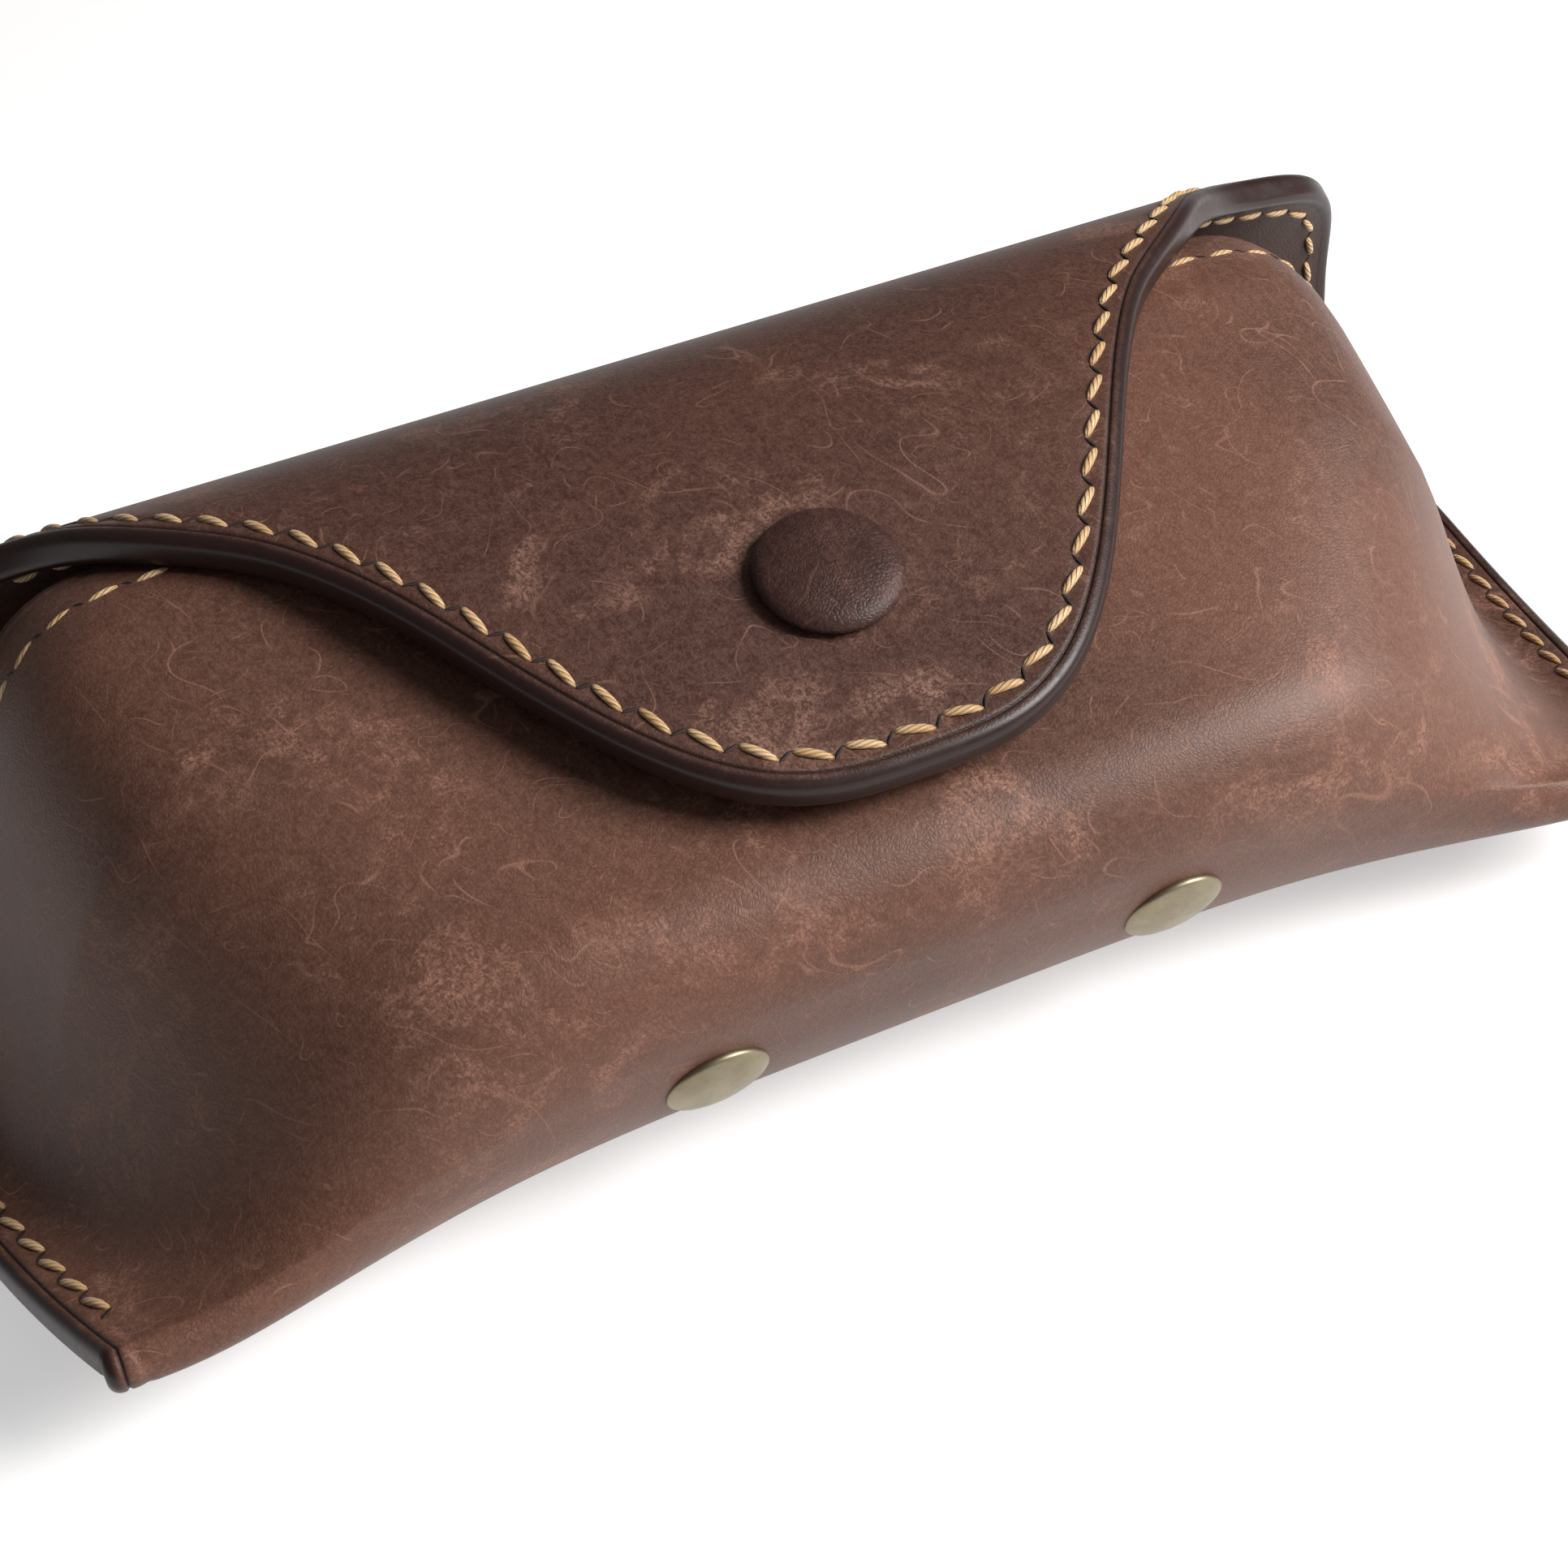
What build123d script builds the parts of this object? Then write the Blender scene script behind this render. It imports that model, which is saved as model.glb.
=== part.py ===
from build123d import *
import math
import os

import numpy as np

# A leather glasses case lying on its back: a wet-moulded front panel is stitched to a back leather whose
# upper end folds over the mouth and comes down as a tongue-shaped flap, closed with a covered press snap.
# Millimetres. X runs along the case, +Y towards the fold, +Z up from the back. While the pieces are made,
# y = 0 is the line of the bottom corners; the finished pieces are moved to put the origin under the middle.

# Leathers
front_leather = 1.7
outer_leather = 1.7
lining_leather = 1.4
facing_leather = 1.2
glue_line = 0.05
seam_gap = 0.3

# Outline of the pocket, seen from the front
bottom_half_width = 71.5
mouth_half_width = 85.0
mouth_height = 58.0
seam_bow = 0.56
flange_width = 4.6
corner_lift = 10.5
corner_lift_length = 50.0
corner_nose = 2.05

# Middle section of the front, from the lowest point round the bottom and up to the mouth. The walls get
# steeper up to wall_run_share of the height; row_ease gathers the rows a little towards the bottom.
under_reach = 27.5
under_radius = 25.5
bottom_lean = 16.0
ridge_radius = 9.0
wall_run_bottom = 24.8
wall_run_mouth = 12.5
wall_run_share = 0.55
wall_run_power = 0.8
row_ease = 1.05
side_ease = 0.97

# Fold and flap
fold_radius = 24.6
fold_centre = 48.2
back_radius = 14.8
flap_slope = 17.5
flap_crown_radius = 60.0
flap_tip = 6.1
tongue_length = 46.7
tongue_width = 34.5
shoulder_start = 44.0
shoulder_rise = 0.048
shoulder_half_width = 54.0
rest_gap = 0.4
snap_gap = 2.4

# Half width of the leather along the fold, each at its distance over the fold from the crest
fold_outline = [(57.5, 12.5), (63.0, 16.6), (70.0, 19.8), (75.5, 24.0), (78.2, 30.0), (79.0, 38.0),
                (79.8, 47.0), (82.0, 55.0), (83.8, 63.0)]

# Hinge lines, where the leather bends when the flap opens
upper_hinge_angle = 20.0
lower_hinge_angle = 40.0
hinge_gap = 0.3

# Spacing of the points along the bent leathers' sections
profile_step = 1.5

# Stitching
stitch_pitch = 4.2
stitch_inset = 2.9
mouth_stitch_inset = 8.0
thread_radius = 0.36
thread_side_step = 0.42
thread_sides = 6
thread_stand = 0.12
side_seam_start = 6.0

# Linings and strips
back_lining_end = 50.0
lining_clearance = 3.2
lining_step = 0.4
facing_depth = 12.0
facing_side_margin = 5.5
strip_half_width = 30.0
strip_top = 21.5
strip_foot = 10.0
strip_edge_share = 0.01

# Press snap
snap_height = 24.0
cover_radius = 6.2
cover_height = 2.3
cap_radius = 5.2
cap_thickness = 0.8
snap_post_radius = 1.2
socket_radius = 4.4
socket_flange_radius = 5.0
socket_flange_thickness = 0.4
socket_bore_radius = 2.85
socket_floor_gap = 0.2
spring_wire_radius = 0.28
spring_open_angle = 40.0
stud_radius = 1.9
stud_tip_radius = 1.0
stud_tip_gap = 0.15
stud_waist_radius = 1.6
stud_bore_share = 0.42
stud_base_radius = 3.4
stud_base_thickness = 0.35
eyelet_radius = 3.8
eyelet_thickness = 0.5
part_clearance = 0.05

# Rivets
rivet_half_spacing = 20.9
rivet_height = 15.3
rivet_cap_radius = 4.5
rivet_cap_height = 1.5
rivet_cap_rim = 0.5
rivet_sink = 0.35
rivet_post_radius = 1.4
rivet_base_radius = 4.0
rivet_base_thickness = 0.7

# The back is cut flat where it lies, this much above the lowest line of the bent leather
rest_cut = 0.2

flap_stack = outer_leather + lining_leather
fold_top = 2 * fold_radius - rest_cut
flange_height = outer_leather + front_leather + seam_gap
slope = math.radians(flap_slope)


def path_point(start, heading, pieces, distance):
    """Points along a smooth path of arcs and straight runs, each given as (length, turn in radians)."""
    s = np.asarray(distance, float)
    y = np.full(s.shape, float(start[0]))
    z = np.full(s.shape, float(start[1]))
    angle = np.full(s.shape, float(heading))
    for length, turn in pieces:
        run = np.clip(s, 0, length)
        if turn == 0:
            y = y + run * np.cos(angle)
            z = z + run * np.sin(angle)
        else:
            bend = turn / length
            y = y + (np.sin(angle + bend * run) - np.sin(angle)) / bend
            z = z - (np.cos(angle + bend * run) - np.cos(angle)) / bend
            angle = angle + bend * run
        s = s - length
    return y, z, angle


def front_path():
    """Middle line of the front: under curve, bottom face, ridge, sloping face, crest and mouth arc.

    The two straight runs are solved so that the crest lies at the fold's centre, just under the lining.
    """
    lean = math.radians(bottom_lean)
    inner_radius = fold_radius - flap_stack - rest_gap
    apex = (fold_centre, fold_top - flap_stack - rest_gap)
    face_offset = flap_stack + snap_gap
    crest_radius = flap_crown_radius - (
        face_offset - (flap_stack + rest_gap) * math.cos(slope)
    ) / (1 - math.cos(slope))
    under_turn = math.pi / 2 - lean
    ridge_turn = math.pi / 2 + lean - slope
    mouth_turn = math.asin((mouth_height - fold_centre) / inner_radius)
    under = (under_radius * under_turn, -under_turn)
    ridge = (ridge_radius * ridge_turn, -ridge_turn)
    crest = (crest_radius * slope, -slope)
    mouth = (inner_radius * mouth_turn, -mouth_turn)
    bent_length = under[0] + ridge[0] + crest[0]
    y, z, _ = path_point((under_reach, -rest_cut), math.pi, [under, ridge, crest], bent_length)
    rise = math.pi / 2 + lean
    directions = [[math.cos(rise), math.cos(slope)], [math.sin(rise), math.sin(slope)]]
    bottom_run, face_run = np.linalg.solve(directions, [apex[0] - float(y), apex[1] - float(z)])
    return [under, (bottom_run, 0), ridge, (face_run, 0), crest, mouth]


front_pieces = front_path()
front_length = sum(length for length, _ in front_pieces)
nose_share = (front_pieces[0][0] + front_pieces[1][0]) / front_length


def half_width(y):
    """Half width of the pocket at a height, widest at the mouth, with gently bowed side seams."""
    share = y / mouth_height
    spread = mouth_half_width - bottom_half_width
    return bottom_half_width + spread * ((1 + seam_bow) * share - seam_bow * share**2)


def lift(y):
    """Height of the seam's underside above the back: the bottom corners curl up."""
    return corner_lift * np.clip(1 - y / corner_lift_length, 0, None) ** 2


def flange_top(y):
    """Height of the seam's upper side: both leathers are measured square to the lifted seam."""
    fall = 2 * corner_lift / corner_lift_length * np.clip(1 - y / corner_lift_length, 0, None)
    return lift(y) - rest_cut + flange_height * np.sqrt(1 + fall**2)


def wall(x, edge, run):
    """0 on the flange, rising to 1 in the middle like a rounded wall."""
    inside = np.clip(edge - flange_width - np.abs(x), 0, None)
    return (1 - np.exp(-((inside / run) ** 2))) / (1 - np.exp(-(((edge - flange_width) / run) ** 2)))


def wall_run(share):
    """Softness of the side wall, from wide at the bottom to tight near the mouth."""
    steepness = np.clip(share / wall_run_share, 0, 1) ** wall_run_power
    return wall_run_bottom + (wall_run_mouth - wall_run_bottom) * steepness


def front_surface(u, v):
    """Outer face of the front: u runs across from -1 to 1, v from the under edge to the mouth."""
    under_edge = (under_reach, -rest_cut)
    centre_y, centre_z, _ = path_point(under_edge, math.pi, front_pieces, v * front_length)
    turn = np.clip(v / nose_share, 0, 1) * math.pi
    share = np.clip((v - nose_share) / (1 - nose_share), 0, 1)
    nose_z = flange_top(corner_nose) - corner_nose
    nose = (corner_nose * (1 - np.sin(turn)), nose_z - corner_nose * np.cos(turn))
    seam_y = corner_nose + (mouth_height - corner_nose) * share**row_ease
    on_nose = v < nose_share
    seam_z = np.where(on_nose, nose[1], flange_top(seam_y))
    edge = half_width(seam_y)
    seam_y = np.where(on_nose, nose[0], seam_y)
    x = u * edge
    rise = wall(x, edge, wall_run(share))
    return np.stack([x, seam_y + (centre_y - seam_y) * rise, seam_z + (centre_z - seam_z) * rise], -1)


# The wrap is the outer leather from the flap's tip over the crest and down the fold to the flat back
upper_arc = fold_radius * math.pi / 2
fold_straight = fold_top - fold_radius + rest_cut - back_radius
lower_arc = back_radius * math.pi / 2
wrap_over = [(upper_arc, -math.pi / 2), (fold_straight, 0), (lower_arc, -math.pi / 2), (200.0, 0)]
wrap_down = [(flap_crown_radius * slope, slope), (200.0, 0)]
lower_start = upper_arc + fold_straight
upper_hinge = fold_radius * math.radians(upper_hinge_angle)
lower_hinge = lower_start + back_radius * math.radians(90 - lower_hinge_angle)
wrap_end = lower_start + lower_arc


def wrap_point(over, depth=0.0):
    """Point of the wrap's middle section, at a distance over the crest (negative towards the tip)."""
    over = np.asarray(over, float)
    y1, z1, a1 = path_point((fold_centre, fold_top), 0.0, wrap_over, np.clip(over, 0, None))
    y2, z2, a2 = path_point((fold_centre, fold_top), math.pi, wrap_down, np.clip(-over, 0, None))
    y = np.where(over >= 0, y1, y2)
    z = np.where(over >= 0, z1, z2)
    angle = np.where(over >= 0, a1, a2 + math.pi)
    return y + depth * np.sin(angle), z - depth * np.cos(angle), angle


def vectors(points):
    return [Vector(*[float(c) for c in p]) for p in points]


def offset_grid(grid, depth):
    """Grid moved inwards along its normals."""
    along_u = np.gradient(grid, axis=1)
    along_v = np.gradient(grid, axis=0)
    normal = np.cross(along_u, along_v)
    normal /= np.linalg.norm(normal, axis=2, keepdims=True)
    return grid - depth * normal


def sheet(outer, inner):
    """Solid between two matching grids of points, closed by four ruled edges."""
    grids = [[vectors(row) for row in grid] for grid in (outer, inner)]
    faces = [Face.make_surface_from_array_of_points(grid) for grid in grids]
    edges = faces[0].edges()
    for edge in edges:
        middle = edge.position_at(0.5)
        partner = min(faces[1].edges(), key=lambda other: (other.position_at(0.5) - middle).length)
        faces.append(Face.make_surface_from_curves(edge, partner))
    solid = Solid(Shell(faces))
    return solid if solid.volume > 0 else Solid(Shell([-f for f in faces]))


def strip_profile(first, last, depth, thickness):
    """Section of one leather of the wrap, as a face in the YZ plane."""
    steps = np.linspace(first, last, 2 + int(abs(last - first) / profile_step))
    top, low = [
        vectors([(0, y, z) for y, z, _ in [wrap_point(s, level) for s in steps]])
        for level in (depth, depth + thickness)
    ]
    wire = Wire([Spline(top), Line(top[-1], low[-1]), Spline(low[::-1]), Line(low[0], top[0])])
    return Face(wire)


def across(profile):
    """Profile in the YZ plane drawn out to both sides, wider than any leather."""
    reach = 1.2 * mouth_half_width
    return extrude(Pos(-reach, 0, 0) * profile, amount=2 * reach, dir=(1, 0, 0))


def tongue_edge(x):
    """Plan position of the flap's edge: a bell-shaped tongue with raised shoulders."""
    bell = tongue_length * (1 - np.exp(-((x / tongue_width) ** 3)))
    return flap_tip + bell + shoulder_rise * np.clip(x - shoulder_start, 0, None) ** 2


def over_at_plan(y):
    """Distance over the crest of a plan position on the flap."""
    over = np.linspace(-80, upper_arc * 0.6, 3000)
    return np.interp(y, wrap_point(over)[0], over)


tongue_x = np.linspace(0, shoulder_half_width, 14)
half_outline = [(float(x), float(over_at_plan(tongue_edge(x)))) for x in tongue_x]
half_outline += fold_outline + [(mouth_half_width, wrap_end)]
outline_edge = Spline(vectors(
    [(-x, s, 0) for x, s in half_outline[:0:-1]] + [(x, s, 0) for x, s in half_outline]))
outline_points = [outline_edge.position_at(t) for t in np.linspace(0, 1, 400)]
outline_right = np.array([(p.X, p.Y) for p in outline_points if p.X >= 0])


def outline_at(over):
    """Half width of the leather at a distance over the crest."""
    return float(np.interp(over, outline_right[:, 1], outline_right[:, 0]))


def wrap_piece(first, last, depth, thickness):
    """One leather of the wrap between two distances over the crest, cut to its outline."""
    body = across(strip_profile(first, last, depth, thickness))
    stations = np.linspace(first, last, 24)
    heights = [(outline_at(s), float(wrap_point(s)[1])) for s in stations]
    right = [Vector(x, 0, z) for x, z in heights]
    over_top = Vector(right[0].X, 0, right[0].Z + 2 * flap_stack)
    under = Vector(right[-1].X, 0, right[-1].Z - 2 * flap_stack)
    mirrored = [Vector(-p.X, 0, p.Z) for p in (over_top, right[0], right[-1], under)]
    wire = Wire([
        Line(over_top, right[0]), Spline(right), Line(right[-1], under), Line(under, mirrored[3]),
        Line(mirrored[3], mirrored[2]), Spline([Vector(-p.X, 0, p.Z) for p in right[::-1]]),
        Line(mirrored[1], mirrored[0]), Line(mirrored[0], over_top),
    ])
    cutter = extrude(Pos(0, -20, 0) * Face(wire), amount=160, dir=(0, 1, 0))
    return body & cutter


def flap_piece(depth, thickness):
    """One leather of the flap, from the upper hinge to the tip, cut to the tongue's plan."""
    last = upper_hinge - hinge_gap / 2
    body = across(strip_profile(float(over_at_plan(flap_tip)) - 6, last, depth, thickness))
    xs = np.linspace(0, shoulder_half_width, 14)
    right = [Vector(float(x), float(tongue_edge(x)), 0) for x in xs]
    left = [Vector(-p.X, p.Y, 0) for p in right[:0:-1]]
    back_y = float(wrap_point(upper_hinge)[0]) + 20
    corner = Vector(shoulder_half_width, back_y, 0)
    wire = Wire([
        Spline(left + right), Line(right[-1], corner), Line(corner, Vector(-corner.X, back_y, 0)),
        Line(Vector(-corner.X, back_y, 0), left[0]),
    ])
    return body & extrude(Face(wire), amount=3 * fold_radius, dir=(0, 0, 1))


def mitred_tube(points, first_normal):
    """Many-sided tube along a path of straight runs, mitred at each corner."""
    points = np.asarray(points, float)
    runs = np.diff(points, axis=0)
    runs /= np.linalg.norm(runs, axis=1, keepdims=True)
    side = np.cross(runs[0], first_normal)
    side /= np.linalg.norm(side)
    up = np.cross(side, runs[0])
    angles = np.arange(thread_sides) * 2 * math.pi / thread_sides
    ring = points[0] + thread_radius * (np.cos(angles)[:, None] * side + np.sin(angles)[:, None] * up)
    rings = [ring]
    for i in range(1, len(points)):
        mitre = runs[i - 1] + (runs[i] if i < len(runs) else runs[i - 1])
        reach = (points[i] - ring) @ mitre / (runs[i - 1] @ mitre)
        ring = ring + reach[:, None] * runs[i - 1]
        rings.append(ring)
    faces = [Face(Wire.make_polygon(vectors(rings[0]))), Face(Wire.make_polygon(vectors(rings[-1])))]
    for a, b in zip(rings[:-1], rings[1:]):
        for k in range(thread_sides):
            n = (k + 1) % thread_sides
            faces.append(Face(Wire.make_polygon(vectors([a[k], a[n], b[n], b[k]]))))
    return Solid(Shell(faces))


def saddle_stitch(holes, normals, top_depth, low_depth):
    """Two threads through one row of holes: while one lies on top, the other lies underneath."""
    holes, normals = np.asarray(holes), np.asarray(normals)
    low_depth = np.broadcast_to(low_depth, len(holes))
    along = np.gradient(holes, axis=0)
    sideways = np.cross(normals, along)
    sideways /= np.linalg.norm(sideways, axis=1, keepdims=True)
    threads = []
    for first in (0, 1):
        path = []
        for i in range(len(holes)):
            on_top = (i - first) % 2 == 0
            side = -thread_side_step if on_top else thread_side_step
            spot = holes[i] + side * sideways[i]
            ends = [spot - low_depth[i] * normals[i], spot - top_depth * normals[i]]
            path += ends if on_top else ends[::-1]
        start = 1 if first == 0 else 0
        threads.append(mitred_tube(path[start:], sideways[0] + 0.3 * normals[0]))
    return Compound(children=threads)


def even_spots(line, pitch):
    """Evenly spaced points on a polyline, as close to the pitch as its length allows."""
    steps = np.linalg.norm(np.diff(line, axis=0), axis=1)
    along = np.concatenate([[0], np.cumsum(steps)])
    count = max(2, int(round(along[-1] / pitch)) + 1)
    spots = np.linspace(0, along[-1], count)
    return np.stack([np.interp(spots, along, line[:, k]) for k in range(line.shape[1])], 1)


def stitch_line():
    """Stitch line in the leather's flat plan, a constant inset from the edge, from left to right."""
    flat = np.array([(p.X, p.Y) for p in outline_points])
    along = np.gradient(flat, axis=0)
    along /= np.linalg.norm(along, axis=1, keepdims=True)
    return flat + stitch_inset * np.stack([-along[:, 1], along[:, 0]], 1)


def wrap_stitches(line):
    """Saddle stitch along a line of the wrap's flat plan."""
    spots = even_spots(line, stitch_pitch)
    y, z, angle = wrap_point(spots[:, 1])
    holes = np.stack([spots[:, 0], y, z], 1)
    normals = np.stack([np.zeros(len(spots)), -np.sin(angle), np.cos(angle)], 1)
    return saddle_stitch(holes, normals, -thread_stand, flap_stack - thread_radius / 2)


def placed(shape, point, axis):
    """Shape made round +Z, moved so that its origin and axis lie at a point and along a direction."""
    return Plane(origin=Vector(*point), x_dir=(1, 0, 0), z_dir=Vector(*axis)).location * shape


def turned(corners, curve=()):
    """Solid of revolution about Z from (radius, height) points: a smooth curve first, then straight sides."""
    smooth = [Vector(r, 0, h) for r, h in curve]
    straight = smooth[-1:] + [Vector(r, 0, h) for r, h in corners] + smooth[:1]
    if not smooth:
        straight.append(straight[0])
    edges = [Edge.make_line(a, b) for a, b in zip(straight[:-1], straight[1:])]
    if smooth:
        edges.insert(0, Edge.make_spline(smooth))
    return revolve(Face(Wire(edges)), Axis.Z)


# Front panel: wet-moulded leather with flat side flanges, wrapped round the bottom
quarter = math.pi / 2 * side_ease
across_u = np.sin(np.linspace(-quarter, quarter, 41)) / math.sin(quarter)
grid_u, grid_v = np.meshgrid(across_u, np.linspace(0, 1, 37))
front_grid = front_surface(grid_u, grid_v)
front_panel = sheet(front_grid, offset_grid(front_grid, front_leather))

# Back panel: flat leather from the under edge of the front to the lower hinge line
flat_end = fold_centre + fold_radius - back_radius
back_last = lower_hinge + hinge_gap / 2


def back_row(share, u):
    """One row of the flat back's outer face, from the bottom edge (0) to the fold (1)."""
    first = corner_nose + 2 * glue_line
    centre_first = under_reach + 2 * glue_line
    centre_y = centre_first + share * (flat_end - centre_first)
    seam_y = first + share * (mouth_height - first)
    edge = float(half_width(seam_y))
    rise = wall(u * edge, edge, wall_run(np.array(share)))
    seam_z = float(lift(seam_y)) - rest_cut
    return np.stack([u * edge, seam_y + (centre_y - seam_y) * rise, seam_z + (-rest_cut - seam_z) * rise], -1)


def fold_row(over, u):
    """One row of the fold's outer face at a distance over the crest."""
    y, z, _ = wrap_point(over)
    return np.stack([u * outline_at(over), np.full(u.shape, float(y)), np.full(u.shape, float(z))], -1)


back_grid = np.array([back_row(share, across_u) for share in np.linspace(0, 1, 24)]
                     + [fold_row(float(over), across_u) for over in np.linspace(wrap_end, back_last, 8)[1:]])
back_panel = sheet(back_grid, offset_grid(back_grid, -outer_leather))

# What lies below the table is cut away, so that the case stands on a flat face
above_table = Pos(0, mouth_height / 2, fold_top) * Box(3 * mouth_half_width, 3 * mouth_height, 2 * fold_top)
front_panel = front_panel & above_table
back_panel = back_panel & above_table

# Lining: a thinner leather of the wrap's outline, glued and stitched inside flap, fold and upper back
lining_depth = outer_leather + glue_line
lining_thickness = lining_leather - glue_line
flap = flap_piece(0, outer_leather)
flap_lining = flap_piece(lining_depth, lining_thickness)
band_first = upper_hinge + hinge_gap / 2
band_last = lower_hinge - hinge_gap / 2
fold_band = wrap_piece(band_first, band_last, 0, outer_leather)
fold_lining = wrap_piece(band_first, band_last, lining_depth, lining_thickness)


def make_back_lining():
    """The lining's end inside the pocket: full width in the fold, narrower between the side walls."""
    lining_last = wrap_end + flat_end - back_lining_end
    body = across(strip_profile(back_last, lining_last, lining_depth, lining_thickness))
    step_y = mouth_height + lining_step
    inset = flange_width + lining_clearance
    corners = [
        (float(half_width(back_lining_end)) - inset, back_lining_end - 1),
        (mouth_half_width - inset, step_y),
        (mouth_half_width, step_y),
        (outline_at(back_last), flat_end + back_radius),
    ]
    outline = corners + [(-x, y) for x, y in corners[::-1]]
    plan = Face(Wire.make_polygon([Vector(x, y, 0) for x, y in outline]))
    return body & extrude(plan, amount=2 * fold_radius, dir=(0, 0, 1))


back_lining = make_back_lining()

# Facing: a strip behind the mouth's edge, stitched through
facing_u = (mouth_half_width - flange_width - facing_side_margin) / mouth_half_width
facing_grid = front_surface(*np.meshgrid(
    facing_u * across_u / across_u[-1], np.linspace(1 - facing_depth / front_length, 1, 7)))
mouth_facing = sheet(offset_grid(facing_grid, front_leather + 3 * glue_line),
                     offset_grid(facing_grid, front_leather + facing_leather))

# Bottom strip: joins the front's under edge to the back on the inside, and backs the rivets
strip_u = np.linspace(-1, 1, 17) * strip_half_width / bottom_half_width
centre_run = np.linspace(0, front_length * nose_share, 200)
strip_top_v = float(np.interp(strip_top, path_point(
    (under_reach, -rest_cut), math.pi, front_pieces, centre_run)[1], centre_run)) / front_length
strip_end = strip_foot / (flat_end - under_reach)
strip_v = np.linspace(strip_top_v, strip_edge_share, 16)
strip_grid = np.array([front_surface(strip_u, np.full(strip_u.shape, v)) for v in strip_v]
                      + [back_row(share, strip_u) for share in np.linspace(strip_end / 5, strip_end, 5)])
strip_depth = max(front_leather, outer_leather) + 4 * glue_line
strip_faces = [offset_grid(strip_grid, -depth) for depth in (strip_depth, strip_depth + lining_leather)]
bottom_strip = sheet(*strip_faces)


def front_spot(x, v):
    """Point and outward normal of the front's outer face."""
    u = x / float(half_width(max(corner_nose, 0)))
    for _ in range(4):
        u *= x / float(front_surface(np.array(u), np.array(v))[0]) if x else 1.0
    step = 1e-4
    spot = front_surface(np.array(u), np.array(v))
    along_u = front_surface(np.array(u + step), np.array(v)) - spot
    along_v = front_surface(np.array(u), np.array(v + step)) - spot
    normal = np.cross(along_u, along_v)
    return spot, normal / np.linalg.norm(normal)


# Rivets: a low domed cap with its post outside, and a flat cap that it is pressed into inside
rivet_rows = np.linspace(0.02, nose_share, 60)
rivet_heights = [float(front_spot(rivet_half_spacing, v)[0][2]) for v in rivet_rows]
rivet_v = float(np.interp(rivet_height, rivet_heights, rivet_rows))
rivet_grip = strip_depth + lining_leather
dome_angles = np.linspace(0, math.pi / 2, 7)
dome_rise = rivet_cap_height - rivet_cap_rim
dome_foot = rivet_cap_rim - rivet_sink
dome = [(rivet_cap_radius * math.sin(a), dome_foot + dome_rise * math.cos(a)) for a in dome_angles]
rivet_cap = turned([
    (rivet_cap_radius, -rivet_sink), (rivet_post_radius, -rivet_sink),
    (rivet_post_radius, -rivet_grip - rivet_base_thickness / 2), (0, -rivet_grip - rivet_base_thickness / 2),
], dome)
rivet_base = turned([
    (rivet_post_radius + part_clearance, -rivet_grip), (rivet_base_radius, -rivet_grip),
    (rivet_base_radius, -rivet_grip - rivet_base_thickness), (0, -rivet_grip - rivet_base_thickness),
    (0, -rivet_grip - rivet_base_thickness / 2 - part_clearance),
    (rivet_post_radius + part_clearance, -rivet_grip - rivet_base_thickness / 2 - part_clearance),
])
rivet_hole = Pos(0, 0, -rivet_grip) * Cylinder(rivet_post_radius + part_clearance, 4 * rivet_grip)
cap_seat = Pos(0, 0, rivet_grip / 2 - rivet_sink) * Cylinder(rivet_cap_radius, rivet_grip)
base_seat = Pos(0, 0, -1.5 * rivet_grip) * Cylinder(rivet_base_radius, rivet_grip)
caps, bases = [], []
for x in (-rivet_half_spacing, rivet_half_spacing):
    spot, normal = front_spot(x, rivet_v)
    caps.append(placed(rivet_cap, spot, normal))
    bases.append(placed(rivet_base, spot, normal))
    front_panel = front_panel - placed(rivet_hole, spot, normal) - placed(cap_seat, spot, normal)
    bottom_strip = bottom_strip - placed(rivet_hole, spot, normal) - placed(base_seat, spot, normal)
rivet_caps = Compound(children=caps)
rivet_bases = Compound(children=bases)

# Press snap: leather-covered cap and socket in the flap, stud and eyelet in the front
snap_over = float(over_at_plan(snap_height))
snap_y, snap_z, snap_angle = (float(c) for c in wrap_point(snap_over))
snap_normal = (0, -math.sin(snap_angle), math.cos(snap_angle))
snap_point = (0, snap_y, snap_z)
front_depth = flap_stack + snap_gap
stud_point = (0, snap_y - front_depth * snap_normal[1], snap_z - front_depth * snap_normal[2])
socket_top = -flap_stack
socket_ceiling = socket_top - socket_flange_thickness
socket_mouth = -front_depth + socket_floor_gap
spring_level = (socket_ceiling + socket_mouth) / 2
spring_ring = socket_bore_radius + spring_wire_radius + part_clearance
groove_radius = spring_ring + spring_wire_radius + part_clearance
groove_half = spring_wire_radius + part_clearance
post_hole = snap_post_radius + part_clearance

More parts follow.
